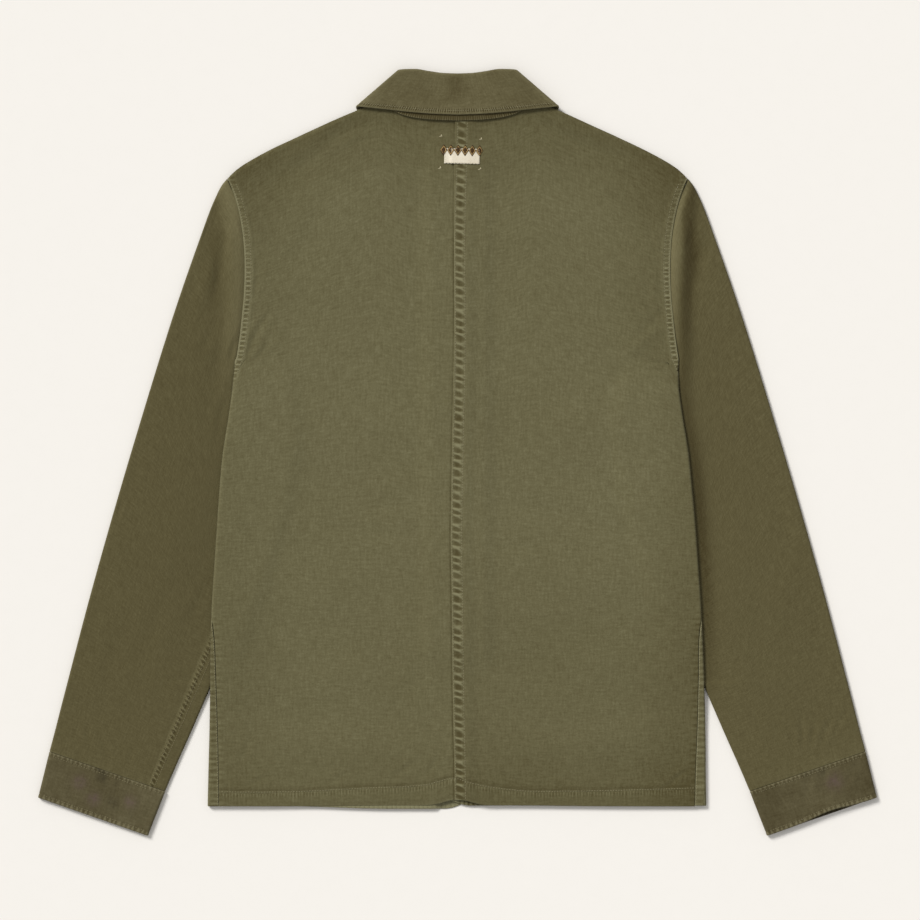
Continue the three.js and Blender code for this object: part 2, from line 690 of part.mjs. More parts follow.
function sleeveRing(sign, along) {
  const outer = outerFold(along);
  const inner = innerFold(along);
  const width = Math.hypot(outer.half - inner.half, outer.y - inner.y);
  const places = ringPlaces(sleeveFoldRadius / width, topSteps, underSteps);
  return places.map(({ across, top, full }) => {
    const plan = sleevePlan(top ? topStart : underStart, across, along);
    const rise = sleeveRise(plan.half, plan.y, along) / 2;
    const swelling = top && full === 1 ? foldHeight(sleeveSwells, plan.half, plan.y) : 0;
    const z = floorLevel + rise + (top ? rise : -rise) * full + swelling;
    return place(sign, plan.half, plan.y, z);
  });
}

const sleeveRows = [
  0, 0.012, 0.03, 0.06, 0.1, 0.15, 0.21, 0.27, 0.33, 0.4, 0.47, 0.54, 0.61, 0.68, 0.75,
  0.82, 0.88, 0.94, 0.9994,
];

function sleeve(sign) {
  const rows = sleeveRows.map((along) => sleeveRing(sign, along));
  return wall(rows, { row: 8, column: 6, up: 1 }, constant(cloth / 2), constant(cloth / 2), true);
}

// Cuffs
const cuffRows = [0.005, 0.12, 0.35, 0.65, 0.9, 1];
const cuffTopSteps = [0.14, 0.3, 0.42, 0.54, 0.7, 0.86];
const cuffUnderSteps = [0.7, 0.3];
const cuffFull = 1.85; // half the rise of its top layer over its bottom one
// The right cuff's top layer stands a little open.
const cuffOpening = { across: 0.42, width: 0.2, back: 3.4, high: 0.9 };

function cuff(sign) {
  const middle = cuffCloth / 2 + cuffFull;
  const rows = cuffRows.map((along) => {
    const outer = between(outerFold(1), cuffEnd.outer, along);
    const inner = between(innerFold(1), cuffEnd.inner, along);
    const width = Math.hypot(outer.half - inner.half, outer.y - inner.y);
    return ringPlaces(cuffFull / width, cuffTopSteps, cuffUnderSteps).map(({ across, top, full }) => {
      const near = bell(across - cuffOpening.across, cuffOpening.width) * step(0.3, 1, along);
      const open = sign > 0 && top ? near : 0;
      const plan = between(outer, inner, across);
      const y = plan.y + cuffOpening.back * open * step(0.6, 1, along);
      const z = middle + (top ? cuffFull : -cuffFull) * full + cuffOpening.high * open;
      return place(sign, plan.half, y, z);
    });
  });
  const half = constant(cuffCloth / 2);
  return wall(rows, { row: 2, column: 5, up: 1 }, half, half, true);
}

function between(a, b, share) {
  const { lerp } = THREE.MathUtils;
  return { half: lerp(a.half, b.half, share), y: lerp(a.y, b.y, share) };
}

// Collar
function leafSection(row, sign) {
  const shares = [0, 0.012, 0.045, 0.25, 0.5, 0.75, 1];
  const length = Math.hypot(row.edgeX - row.creaseX, row.edgeY - row.creaseY);
  return shares.map((share) => {
    const nearness = Math.min((share * length) / creaseRoll, 1);
    const round = Math.sqrt(Math.max(0, 1 - (1 - nearness) ** 2));
    const leaf = THREE.MathUtils.lerp(row.near, row.far, share);
    const z = THREE.MathUtils.lerp(row.crease, leaf, round);
    const x = THREE.MathUtils.lerp(row.creaseX, row.edgeX, share);
    return place(sign, x, THREE.MathUtils.lerp(row.creaseY, row.edgeY, share), z);
  });
}

function bothSides(rows, section) {
  const left = rows.slice(1).reverse().map((row) => section(row, -1));
  return [...left, ...rows.map((row) => section(row, 1))];
}

function collarLeaf() {
  const rows = bothSides(collar, leafSection);
  const half = constant(collarCloth / 2);
  return wall(rows, { row: collar.length - 1, column: 4, up: 1 }, half, half);
}

function standRows() {
  const rows = stand.slice();
  const last = stand[stand.length - 1];
  const shares = [standFront.start, ...even(neckSteps).slice(1)];
  for (const share of shares) {
    const edge = besideNeck(share);
    const topShare = (share - standFront.start) / (1 - standFront.start);
    const top = { x: standFront.crease.x - 14 * step(0.7, 1, topShare), y: standFront.crease.y };
    rows.push({
      topX: THREE.MathUtils.lerp(last.topX - 2, top.x, topShare),
      topY: THREE.MathUtils.lerp(last.topY - 6, top.y, topShare),
      lowX: edge.x,
      lowY: edge.y,
      top: standFront.level,
      low: standFront.level,
      front: true,
    });
  }
  return rows;
}

// A place just inside the fronts' neck seam.
function besideNeck(share) {
  const here = neckLine(share);
  const before = neckLine(Math.max(share - 0.04, 0));
  const after = neckLine(Math.min(share + 0.04, 1));
  const length = Math.hypot(after.half - before.half, after.y - before.y);
  const across = standFront.setOff / length;
  return {
    x: here.half + (after.y - before.y) * across,
    y: here.y - (after.half - before.half) * across,
  };
}

function standSection(row, sign) {
  return even(4).map((share) => {
    const x = THREE.MathUtils.lerp(row.topX, row.lowX, share);
    const y = THREE.MathUtils.lerp(row.topY, row.lowY, share);
    const lapped = row.front && sign > 0 ? standCloth + seamGap : 0;
    const over = lapped * (1 - step(25, 40, x)) * (1 - step(290, 306, y));
    const rise = row.front ? share : 1 - (1 - share) ** 1.8;
    return place(sign, x, y, THREE.MathUtils.lerp(row.top, row.low, rise) + over);
  });
}

function collarStand() {
  const rows = bothSides(standRows(), standSection);
  const half = constant(standCloth / 2);
  return wall(rows, { row: (rows.length - 1) / 2, column: 2, up: 1 }, half, half);
}

// Label and buttons
const labelColumns = [0, 0.12, 0.21, 0.35, 0.5, 0.61, 0.75, 1];
function labelPatch() {
  const rows = even(3).map((down) =>
    labelColumns.map((across) => {
      const x = label.x + (across - 0.5) * label.width;
      const y = label.y + (0.5 - down) * label.height;
      const lapped = layer * (1 - step(5, 9, x)) * step(-lapRight - 4.6, -lapRight - 0.7, x);
      const under = backLevel(Math.sign(x) || 1, Math.abs(x), y) + lapped;
      return new THREE.Vector3(x, y, under + cloth / 2 + seamGap + 0.1 + label.thickness / 2);
    }),
  );
  const half = constant(label.thickness / 2);
  return wall(rows, { row: 1, column: 4, up: 1 }, half, half);
}

function button() {
  const shape = new THREE.Shape().absarc(0, 0, buttonDiameter / 2, 0, 2 * Math.PI);
  for (const [x, y] of [[1, 1], [1, -1], [-1, 1], [-1, -1]]) {
    const hole = new THREE.Path();
    hole.absarc(buttonHole.offset * x, buttonHole.offset * y, buttonHole.radius, 0, 2 * Math.PI, true);
    shape.holes.push(hole);
  }
  const options = { depth: buttonThickness, bevelEnabled: false, curveSegments: 6 };
  return new THREE.ExtrudeGeometry(shape, options);
}

// Assembly
const twill = new THREE.MeshStandardMaterial({ color: 0x6a6447, roughness: 0.92 });
const sleeveTwill = new THREE.MeshStandardMaterial({ color: 0x5a5338, roughness: 0.92 });
const collarTwill = new THREE.MeshStandardMaterial({ color: 0x60593f, roughness: 0.92 });
const labelTape = new THREE.MeshStandardMaterial({ color: 0xf1e9d6, roughness: 0.8 });
const corozo = new THREE.MeshStandardMaterial({ color: 0x3b3022, roughness: 0.45 });

const jacket = new THREE.Group();

function add(name, geometry, material) {
  const mesh = new THREE.Mesh(geometry, material);
  mesh.name = name;
  jacket.add(mesh);
  return mesh;
}

for (const sign of [-1, 1]) {
  const name = sideName(sign);
  add(`back_${name}`, backPanel(sign), twill);
  add(`front_${name}`, frontPanel(sign), twill);
  add(`sleeve_${name}`, sleeve(sign), sleeveTwill);
  add(`cuff_${name}`, cuff(sign), sleeveTwill);
}
add("collar_leaf", collarLeaf(), collarTwill);
add("collar_stand", collarStand(), collarTwill);
add("label", labelPatch(), labelTape);
buttonLevels.forEach((level, i) => {
  add(`button_${i + 1}`, button(), corozo).position.set(0, level, 0);
});

// The part's frame has its origin under the middle of the whole.
const bounds = new THREE.Box3().setFromObject(jacket);
const middle = bounds.getCenter(new THREE.Vector3());
jacket.position.set(-middle.x, -middle.y, -bounds.min.z);

export default jacket;
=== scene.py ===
import math

import bmesh
import bpy
import numpy as np
from mathutils import Matrix, Vector
from mathutils.bvhtree import BVHTree


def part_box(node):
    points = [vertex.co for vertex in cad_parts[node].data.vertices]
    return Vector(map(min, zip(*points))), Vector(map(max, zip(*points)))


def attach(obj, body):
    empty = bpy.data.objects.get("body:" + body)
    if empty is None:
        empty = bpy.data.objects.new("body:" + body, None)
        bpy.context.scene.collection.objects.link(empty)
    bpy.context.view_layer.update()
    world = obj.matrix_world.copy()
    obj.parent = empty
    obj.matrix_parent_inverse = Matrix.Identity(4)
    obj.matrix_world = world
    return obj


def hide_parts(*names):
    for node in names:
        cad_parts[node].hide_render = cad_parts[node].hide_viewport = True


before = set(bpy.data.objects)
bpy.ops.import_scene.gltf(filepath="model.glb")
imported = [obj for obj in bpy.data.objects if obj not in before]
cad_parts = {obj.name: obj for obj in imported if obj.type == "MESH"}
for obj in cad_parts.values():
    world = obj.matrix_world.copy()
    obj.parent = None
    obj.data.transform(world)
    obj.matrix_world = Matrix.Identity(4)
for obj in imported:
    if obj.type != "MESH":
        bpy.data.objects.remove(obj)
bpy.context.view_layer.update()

MM = 0.001
SIDES = ((-1, "left"), (1, "right"))

# Driving sizes
CLOTH = 1.1
STAND_CLOTH = 1.2
COLLAR_CLOTH = 1.6
CUFF_CLOTH = 1.7
HEM_EXTRA = 0.6
SEAM_GAP = 0.3
LAYER = CLOTH + SEAM_GAP  # from one layer's middle to the next
FLOOR_LEVEL = CLOTH / 2  # the middle of a cloth that lies on the surface
HEM_DEPTH = 14.5
HEM_LEVEL = -361.5
SHOULDER_HALF = 234.5
FOLD_TOP = 90  # where the armhole runs into the side fold
ARMPIT_Y = 60
LAP_LEFT = 4.0  # how far the left back runs on under the right one
FRONT_LAP = 18  # how far each front runs past the middle
BUTTON_ACROSS = 17
BUTTON_THICK = 2.2
BUTTON_LEVELS = [236, 131, 26, -79, -184]
BACK_REST = 4.3  # the back's lowest level
CLOTH_REST = 0.12  # no cloth comes lower than this
OVER_FRONT = 1.75  # from what lies below to the back's middle
SLEEVE_FULL = 3.6  # between a sleeve's layers, beside the body and under it
SLEEVE_HIDDEN = 2.1
CUFF_FULL = 1.85  # half the height between a cuff's layers
CREASE_ROLL = 2.2  # how far in the collar's crease is round
CUFF_DEPTH = 49.0
CUFF_ROWS = {"upper": 3.6, "lower": 4.2}
# The right cuff's mouth stands open: where across it, how wide, how far back and how high.
CUFF_MOUTH = {"at": 0.42, "wide": 0.2, "back": 3.4, "high": 1.5}
EDGE_STEPS = np.array([0, 0.3, 0.7])  # the first points in from a rounded edge
EDGE_MARGIN = 1.1  # the next one
LABEL = {"x": 4.6, "y": 301.6, "width": 36, "height": 15.4, "thick": 0.7, "turn": -1.5}
FELL = {"width": 12.2, "first": 1.5, "second": 11.3, "lean": 0.28}
ARM_FELL = {"width": 7.8, "first": 1.7, "second": 6.5, "lean": 0.0}
UNDERARM_FELL = {"width": 7.0, "first": 1.0, "second": 6.0, "lean": 0.7}
# Each sleeve's underarm seam, in from its inner fold.
UNDERARM_INSET = {-1: 10.2, 1: 5}
SLEEVE_LENGTH = 655.0


def table(names, *rows):
    """A table with named columns, as one array for each column."""
    columns = zip(*rows)
    return {name: np.array(values, float) for name, values in zip(names.split(), columns)}


BACK_TOP = table(
    "half y",
    (0, 343), (24, 343.8), (44, 346), (58, 350), (68, 355), (79, 358.5), (106.6, 346.8),
    (138, 332.6), (165, 320.5), (191, 308.2), (213.5, 295.8), (226, 287.2), (234.5, 279),
)
ARMHOLE = table(
    "y back front",
    (279, 234.5, 234.5), (261, 227.4, 224), (242, 222.4, 214.5), (220, 218.8, 208),
    (200, 217.3, 205), (180, 217.1, 203), (160, 217.9, 201), (140, 219.7, 198),
    (120, 221.9, 194.4), (104, 224.1, 190.8), (90, 226, 187.4), (60, 226, 180),
)
ARMHOLE_UNDER = table("half y", (222, 84), (211, 75.5), (196, 67), (180, 60))
# The body's side folds, as in the solids: "seam" is how far the side seam lies inside the fold.
SIDE = table(
    "y left right seam top under",
    (90, 227.2, 225.4, 0.4, 5.9, 4.25), (84, 227.8, 225.5, 5, 6.1, 4.25),
    (75.5, 228.6, 225.6, 16, 6.3, 4.25), (67, 229.6, 225.8, 32, 6.5, 4.25),
    (60, 230.2, 226.4, 47.8, 6.6, 4.25), (36, 233.6, 229.8, 40.5, 7.1, 4.25),
    (0, 239.2, 235.6, 31, 7.4, 4.25), (-25, 241.8, 238.2, 25, 7.6, 4.25),
    (-70, 245, 242.4, 16, 7.6, 4.25), (-115, 248, 245.6, 8.4, 7.5, 4.25),
    (-155, 250.6, 248.4, 2.2, 7.3, 4.25), (-192, 251.9, 250.2, -3.4, 7.1, 4.25),
    (-228, 252.2, 251.6, -5.2, 6.8, 4.25), (-246, 252.4, 252, -6, 6.2, 4),
    (-262, 252.7, 252.6, -6.8, 5.2, 2.2), (-282, 253.1, 253, -7.8, 4.5, 0.8),
    (-300, 253.5, 253.2, -8.7, 4.3, 0.55), (-330, 254.3, 253.4, -10, 4.3, 0.55),
    (-362, 255, 253.8, -11, 4.3, 0.55),
)
SLEEVE_OUTER = table(
    "half y",
    (234.8, 278.4), (240.6, 271), (246.6, 259), (251.9, 246.6), (260.7, 222.4),
    (278, 173.4), (294.3, 124.4), (317, 51), (346.2, -46.9), (373.8, -144.8),
    (399.5, -242.8), (415.6, -306),
)
SLEEVE_INNER = table(
    "half y",
    (180.6, 59.2), (176.5, 34), (178, -2), (187, -50), (204, -110), (226, -172),
    (241, -212), (254, -243), (264.6, -267.5), (275.3, -292), (286, -316), (299, -346),
)
CUFF_END = {"outer": (427.2, -352.9), "inner": (316.7, -391.3)}
FRONT_NECK = table(
    "half y",
    (81.6, 353), (80.6, 340), (75, 317), (60, 291), (34, 271.5), (8, 264.5), (-18, 262.5),
)
FRONT_ROWS = np.array([
    275.8, 266, 254, 239, 222, 205, 190, 174, 159, 144, 128, 112, 97, 84, 71, 60, 24, -32,
    -104, -171, -239, -302, HEM_LEVEL,
])
NECK_STEPS = 9
# The collar's leaf from the centre back round its side fold to the front edge.
COLLAR = table(
    "crease_x crease_y edge_x edge_y crease near far",
    (0, 385.6, 0, 343.7, 3.9, 5.8, 9.7), (14, 386.1, 24, 344.6, 4.0, 6.0, 9.6),
    (29, 388, 49, 346.5, 4.5, 6.7, 9.4), (43, 390.1, 73, 349.2, 5.3, 7.4, 9.0),
    (53.5, 389.9, 92, 351.1, 5.9, 7.9, 8.8), (59.8, 389.2, 102.4, 352.2, 5.2, 7.6, 8.5),
    (60.6, 388.6, 103.4, 351.6, 3.9, 4.2, 4.6), (59.4, 387.4, 102.8, 349.2, 2.2, 1.3, 1.2),
    (54, 379, 98, 340, 1.2, 0.8, 0.8), (43, 359, 86, 316, 1.2, 0.8, 0.8),
    (30, 335, 72, 288, 1.2, 0.8, 0.8), (17, 311, 57, 259, 1.2, 0.8, 0.8),
    (4, 288, 42, 230, 1.2, 0.8, 0.8),
)
LEAF_FRONT = ((42, 230), (102, 352))  # its front edge, as half and y
COLLAR_FOLD = (5, 8)  # the rows between which the leaf turns round its side fold
STAND = table(
    "top_x top_y low_x low_y top low",
    (0, 384.6, 0, 337.8, 2.2, 7.9), (14, 385.1, 22, 338.6, 2.3, 7.7),
    (28, 386.8, 42, 340.6, 2.8, 7.2), (41, 387.6, 58, 344.4, 3.6, 7.1),
    (50.5, 385.4, 70, 351.6, 4.2, 7.1), (55.2, 381.6, 79, 362.4, 3.9, 6.6),
    (55.6, 380.6, 80, 363.2, 3.3, 4.9), (54.6, 378, 80.2, 359.6, 2.9, 3.2),
)
STAND_FRONT = {"x": 4, "y": 288, "level": 2.9, "start": 0.03, "set_off": 0.45}

# The folded edge of the centre seam, where the right back laps over the left one.
SEAM_EDGE = table(
    "y x", (345, -1), (332, -1.2), (290, -2.1), (257, -3.1), (211, -3.9), (165, -3.6),
    (119, -3.4), (73, -3.9), (12, -5.4), (-49, -6.5), (-90, -7.1), (-141, -6.2),
    (-202, -5.6), (-263, -4.7), (-324, -3.4), (-365, -3.1),
)
# The line of stitches along the hem, drawn up at the centre seam.
HEM_LINE = table(
    "x y",
    (-243, -346.8), (-172, -346.6), (-98, -343), (-35, -339.8), (-4, -332.6), (8, -336),
    (28, -340.8), (70, -345.8), (121, -345.8), (172, -344.8), (239, -342.8),
)

# Folds that show on the back: the long soft ones of the solids, the same on both sides.
SWELLS = table(
    "half y long wide turn high",
    (150, 292, 62, 11, -24, -0.7), (196, 128, 26, 5, 44, -0.55), (186, 112, 34, 8, 40, 0.7),
    (150, 40, 80, 26, 12, 0.6), (120, -120, 90, 34, -14, 0.5), (110, -300, 90, 20, 6, 0.6),
)
SLEEVE_SWELLS = table(
    "half y long wide turn high",
    (236, 232, 34, 5, 76, 0.7), (248, 196, 46, 7, 72, -0.8), (330, -150, 70, 16, 70, 0.5),
)
# Creases of one side only, each a trough with a soft ridge beside it.
BACK_CREASES = table(
    "x y long wide turn deep",
    (-207, 117, 19, 3.2, 67, 0.8), (-198, 104, 12, 2.4, 58, 0.45), (-213, 150, 9, 2, 72, 0.35),
    (-204, 176, 14, 3, 80, 0.3), (-196, 136, 10, 2.2, 60, 0.3), (-224, 84, 16, 2.2, 78, 0.5),
    (-118, 325, 26, 7, 24, 0.7), (-150, 300, 22, 6, 34, 0.4), (-96, 318, 14, 4, 16, 0.35),
    (118, 318, 28, 7, -25, 0.8), (96, 330, 16, 4, -32, 0.5), (150, 305, 20, 5, -18, 0.35),
    (196, 146, 13, 2.6, -50, 0.7), (190, 134, 12, 2.2, -42, 0.55), (203, 132, 9, 1.8, -62, 0.5),
    (184, 150, 10, 2, -38, 0.4), (197, 116, 11, 2.4, -46, 0.45), (205, 112, 8, 1.6, -70, 0.4),
    (211, 205, 7, 1.5, 2, 0.55), (214, 200, 5, 1.1, 10, 0.3), (206, 82, 12, 2.2, -12, 0.6),
    (198, 92, 14, 3, -24, 0.4), (193, 170, 16, 3, -76, 0.3), (198, 220, 18, 4, -82, 0.3),
    (224, -332, 11, 2, 38, 0.7), (232, -338, 9, 1.8, -36, 0.55), (216, -340, 9, 1.6, 20, 0.35),
    (192, -329, 15, 1.4, 88, 0.3), (-60, -52, 46, 9, 8, 0.35), (-92, -82, 40, 8, -6, 0.3),
    (96, -60, 54, 9, -12, 0.3), (64, -96, 34, 7, 10, 0.25), (-130, -210, 60, 14, 20, 0.3),
    (-44, -238, 40, 8, 52, 0.3), (120, -236, 60, 14, -24, 0.3), (-214, -300, 16, 3, 70, 0.35),
    (-206, -336, 12, 2, 24, 0.35), (-120, -332, 16, 2.4, 30, 0.3), (-52, -322, 16, 2.6, 34, 0.4),
    (-24, -318, 12, 2.2, 60, 0.5), (22, -320, 13, 2.2, -58, 0.5), (48, -330, 14, 2.2, -28, 0.35),
    (110, -334, 14, 2.2, -24, 0.3), (-40, 250, 40, 9, 74, 0.2), (46, 236, 44, 9, -70, 0.2),
    (-150, 220, 44, 10, 62, 0.3), (160, 214, 46, 9, -60, 0.35), (-26, 322, 10, 2, 40, 0.35),
    (24, 324, 10, 2, -36, 0.35), (-232, 20, 30, 3, 82, 0.3), (229, 10, 30, 3, -84, 0.3),
)
SLEEVE_CREASES = table(
    "x y long wide turn deep",
    (-229.5, 104, 12, 2.3, 72, 1.0), (-241, 256, 13, 3.4, 66, 0.8), (-236, 222, 16, 3, 78, 0.6),
    (-243, 186, 36, 4.5, 80, 0.9), (-262, 160, 30, 6, 70, -0.5), (-256, 112, 22, 4, 64, 0.5),
    (-240, 40, 30, 4, 76, 0.5), (-347, -61, 13, 2.4, 74, 1.2), (-330, -20, 30, 5, 70, 0.3),
    (-300, -160, 50, 9, 66, 0.4), (-352, -214, 46, 8, 72, 0.35), (-262, -150, 26, 4, 62, 0.45),
    (-377, -290, 11, 2.4, 96, 0.7), (-360, -300, 12, 2.4, 108, 0.6), (-334, -312, 10, 2, 80, 0.5),
    (246, 250, 18, 4, -66, 0.6), (242, 214, 26, 4, -80, 0.5), (262, 172, 30, 6, -72, -0.4),
    (252, 96, 26, 4, -70, 0.4), (281, 20, 40, 7, -68, 0.35), (331, -70, 40, 7, -70, 0.35),
    (366, -160, 46, 8, -72, 0.35), (352, -284, 14, 2.4, -84, 0.9), (362, -290, 12, 2.2, -98, 0.7),
    (341, -292, 12, 2.4, -72, 0.6), (376, -284, 13, 2.6, -112, 0.6), (318, -296, 12, 2.2, -64, 0.5),
    (392, -272, 12, 2.4, -120, 0.45), (300, -262, 26, 4, -64, 0.4),
)
CUFF_CREASES = table(
    "x y long wide turn deep",
    (-357, -330, 13, 4, 96, 0.7), (-345, -338, 10, 2.6, 70, 0.4), (-395, -345, 12, 3, 100, 0.35),
    (-325, -362, 12, 3, 64, 0.35), (358, -336, 12, 3.4, -86, 0.6), (375, -330, 10, 3, -100, 0.4),
    (330, -352, 12, 3, -64, 0.4), (400, -330, 11, 3, -110, 0.35),
)
# Where the cuffs are stained.
CUFF_STAINS = table(
    "x y wide deep",
    (-385, -337, 6.5, 1.0), (-371, -354, 6.5, 1.0), (-334, -357, 6, 1.0),
    (384, -336, 8, 1.0), (-364.7, -320, 5, -0.8), (-363, -331, 6, -0.7), (-352, -358, 7, -0.5),
    (358, -322, 8, -0.5), (372, -326, 6, -0.4),
)


# Curves through the tables
def smooth(start, end, at):
    t = np.clip((at - start) / (end - start), 0, 1)
    return t * t * (3 - 2 * t)


def bell(at, width):
    return np.exp(-((at / width) ** 2))


def mix(a, b, share):
    return a + (b - a) * share


def hermite(knots, values, at, gentle=False):
    """A smooth curve through the values. A gentle one never overshoots them."""
    if knots[-1] < knots[0]:
        knots, at = -knots, -np.asarray(at, float)
    at = np.clip(at, knots[0], knots[-1])
    i = np.clip(np.searchsorted(knots, at, side="left") - 1, 0, len(knots) - 2)
    secants = np.diff(values) / np.diff(knots)
    slopes = np.empty(len(knots))
    slopes[1:-1] = (values[2:] - values[:-2]) / (knots[2:] - knots[:-2])
    slopes[0], slopes[-1] = secants[0], secants[-1]
    if gentle:
        before, after = secants[:-1], secants[1:]
        level = before * after <= 0
        harmonic = 2 * before * after / np.where(level, 1, before + after)
        slopes[1:-1] = np.where(level, 0, harmonic)
    span = knots[i + 1] - knots[i]
    s = (at - knots[i]) / span
    rise = values[i + 1] - values[i]
    start = slopes[i] * span * s * (1 - s) ** 2
    end = slopes[i + 1] * span * s * s * (s - 1)
    return values[i] + rise * s * s * (3 - 2 * s) + start + end


def column(rows, key, name, at):
    return hermite(rows[key], rows[name], at)


def plan_curve(halves, levels):
    """A line in plan, by its share of length."""
    chords = np.hypot(np.diff(halves), np.diff(levels))
    lengths = np.concatenate([[0], np.cumsum(chords)])

    def at(share):
        run = np.asarray(share) * lengths[-1]
        return hermite(lengths, halves, run), hermite(lengths, levels, run)

    return at


def share_by_density(density, count):
    """Places from 0 to 1 in each row, closer together where the row's density is high."""
    total = np.cumsum((density[:, 1:] + density[:, :-1]) / 2, axis=1)
    total = np.concatenate([np.zeros((len(density), 1)), total], axis=1)
    total /= total[:, -1:]
    fine = np.linspace(0, 1, density.shape[1])
    even = np.linspace(0, 1, count)
    return np.array([np.interp(even, row, fine) for row in total])


def spaced(start, end, step):
    return np.linspace(start, end, max(int(math.ceil(abs(end - start) / step)), 1) + 1)


outer_fold = plan_curve(SLEEVE_OUTER["half"], SLEEVE_OUTER["y"])
inner_fold = plan_curve(SLEEVE_INNER["half"], SLEEVE_INNER["y"])
neck_line = plan_curve(FRONT_NECK["half"], FRONT_NECK["y"])
back_armhole = plan_curve(
    np.concatenate([ARMHOLE["back"][:-1], ARMHOLE_UNDER["half"]]),
    np.concatenate([ARMHOLE["y"][:-1], ARMHOLE_UNDER["y"]]),
)
front_armhole = plan_curve(ARMHOLE["front"], ARMHOLE["y"])


def side_fold(sign, y):
    return column(SIDE, "y", "left" if sign < 0 else "right", y)


# Relief of the cloth
def fold_axes(dx, dy, degrees):
    """Distances along and across a fold, from those to its middle."""
    turn = math.radians(degrees)
    along = dx * math.cos(turn) + dy * math.sin(turn)
    return along, dy * math.cos(turn) - dx * math.sin(turn)


def soft_folds(folds, half, y):
    """The height of a table's folds, as soft ridges or troughs."""
    total = np.zeros(np.broadcast(half, y).shape)
    for at_half, at_y, long, wide, turn, high in zip(*folds.values()):
        along, across = fold_axes(half - at_half, y - at_y, turn)
        total += high * bell(along, long) * bell(across, wide)
    return total


def creases(folds, x, y):
    """The height of a table's creases: a bent trough with a lower ridge on each side."""
    total = np.zeros(np.broadcast(x, y).shape)
    for i, (at_x, at_y, long, wide, turn, deep) in enumerate(zip(*folds.values())):
        along, across = fold_axes(x - at_x, y - at_y, turn)
        bend = (0.35 if i % 2 else -0.35) * wide * (along / long) ** 2
        across = across - bend
        ridges = 0.55 * bell(across - 1.9 * wide, 1.2 * wide)
        ridges = ridges + 0.3 * bell(across + 2 * wide, 1.3 * wide)
        total += deep * bell(along, long) * (ridges - bell(across, wide))
    return total


def waves(x, y, seed, size, high):
    """Slow uneven waves of a cloth that has been pressed and laid out."""
    rng = np.random.RandomState(seed)
    count, total = 7, 0
    for _ in range(count):
        turn = rng.uniform(0, math.pi)
        length = size * rng.uniform(0.7, 1.9)
        phase = rng.uniform(0, 2 * math.pi)
        run = x * math.cos(turn) + y * math.sin(turn)
        total = total + np.sin(run * 2 * math.pi / length + phase)
    return high * total / (count / 2)


def puckers(along, across, seed, pitch, lean=0.0, wide=0.3):
    """Uneven puckers in a row along a seam, from 0 to about 1. They lean as they cross it."""
    rng = np.random.RandomState(seed)
    spot, last = float(np.min(along)) - pitch, float(np.max(along)) + pitch
    total = np.zeros(np.broadcast(along, across).shape)
    while spot < last:
        spot += pitch * rng.uniform(0.7, 1.35)
        tall = rng.uniform(0.45, 1.0)
        broad = pitch * wide * rng.uniform(0.8, 1.25)
        slant = lean * rng.uniform(0.5, 1.4)
        total += tall * bell(along - spot - slant * across, broad)
    return total


def drawn_in(along, pitch, seed, slant, depth):
    """Puckers of a seam, as the shader draws them too: their count along it, how they slant
    across it, and their depth. Their spacing and depth are uneven."""
    rng = np.random.RandomState(seed)
    phase = rng.uniform(0, 2 * math.pi, 4)
    turns = along / pitch
    tall = 0.8 + 0.14 * np.sin(turns * 1.1 + phase[2]) + 0.1 * np.sin(turns * 2.3 + phase[3])
    turns = turns + 0.1 * np.sin(turns * 1.9 + phase[0]) + 0.07 * np.sin(turns * 3.3 + phase[1])
    return np.stack(np.broadcast_arrays(turns, slant, depth * tall), axis=-1).astype(float)


def pucker_height(seam):
    """From -1 in the hollows to 1 on the ridges, where the seam's depth is full."""
    turn, slant, depth = 2 * math.pi * seam[..., 0], math.pi / 2 * seam[..., 1], seam[..., 2]
    return depth * np.maximum(np.cos(turn + slant), np.cos(turn - slant))


def deeper(a, b):
    """Of two seams' puckers, those that are deeper at each place."""
    return np.where((a[..., 2] > b[..., 2])[..., None], a, b)


def felled(along, across, sizes, seed, slant, pitch):
    """A felled seam between its two rows of stitches: its puckers, and the relief that the
    rows and the cloth beyond them have."""
    width, first, second = sizes["width"], sizes["first"], sizes["second"]
    inside = smooth(0.7, 2.2, across) * (1 - smooth(width - 1.6, width + 0.4, across))
    fork = slant * smooth(0.5 * width, width, across)
    floor = mix(0.5, 0.25, smooth(0.4 * width, width, across))
    ridged = inside * mix(floor, 1.0, bell(across - 0.5 * width, 0.25 * width))
    seam = drawn_in(along + sizes["lean"] * across, pitch, seed, fork, ridged)
    rows = bell(across - first, 0.8) + bell(across - second, 0.9)
    beyond = smooth(width, width + 1.5, across) * (1 - smooth(width + 2, width + 12, across))
    spread = puckers(along, across, seed + 1, 8.5, -0.3, 0.33)
    return seam, 0.22 * beyond * (spread - 0.3) - 0.2 * rows


# Levels of the middle surfaces, as in the solids
def softened_max(a, b, soft):
    """The greater of two levels, with a soft change between them."""
    return (a + b + np.hypot(a - b, soft)) / 2


def back_level(sign, half, y):
    """The back, over what lies below it and raised at its sides and armholes."""
    base = softened_max(BACK_REST, hidden_level(half, y) + OVER_FRONT, 0.8)
    swelling = soft_folds(SWELLS, half, y) * smooth(0, 30, half)
    above = base + armhole_rise(half, y, base)
    inside = side_fold(sign, y) - half
    raised = np.maximum(column(SIDE, "y", "top", y) - base, 0)
    below = base + raised * (1 - smooth(2, 70, inside))
    return mix(below, above, smooth(FOLD_TOP - 18, FOLD_TOP + 18, y)) + swelling


def armhole_rise(half, y, base):
    """How much the felled armhole seam lifts the back."""
    inside = column(ARMHOLE, "y", "back", y) - half
    strip = 5.8 - 0.5 * smooth(7.5, 11, inside) - 0.3 * smooth(11, 30, inside)
    return np.maximum(strip - base, 0) * (1 - smooth(14, 64, inside))


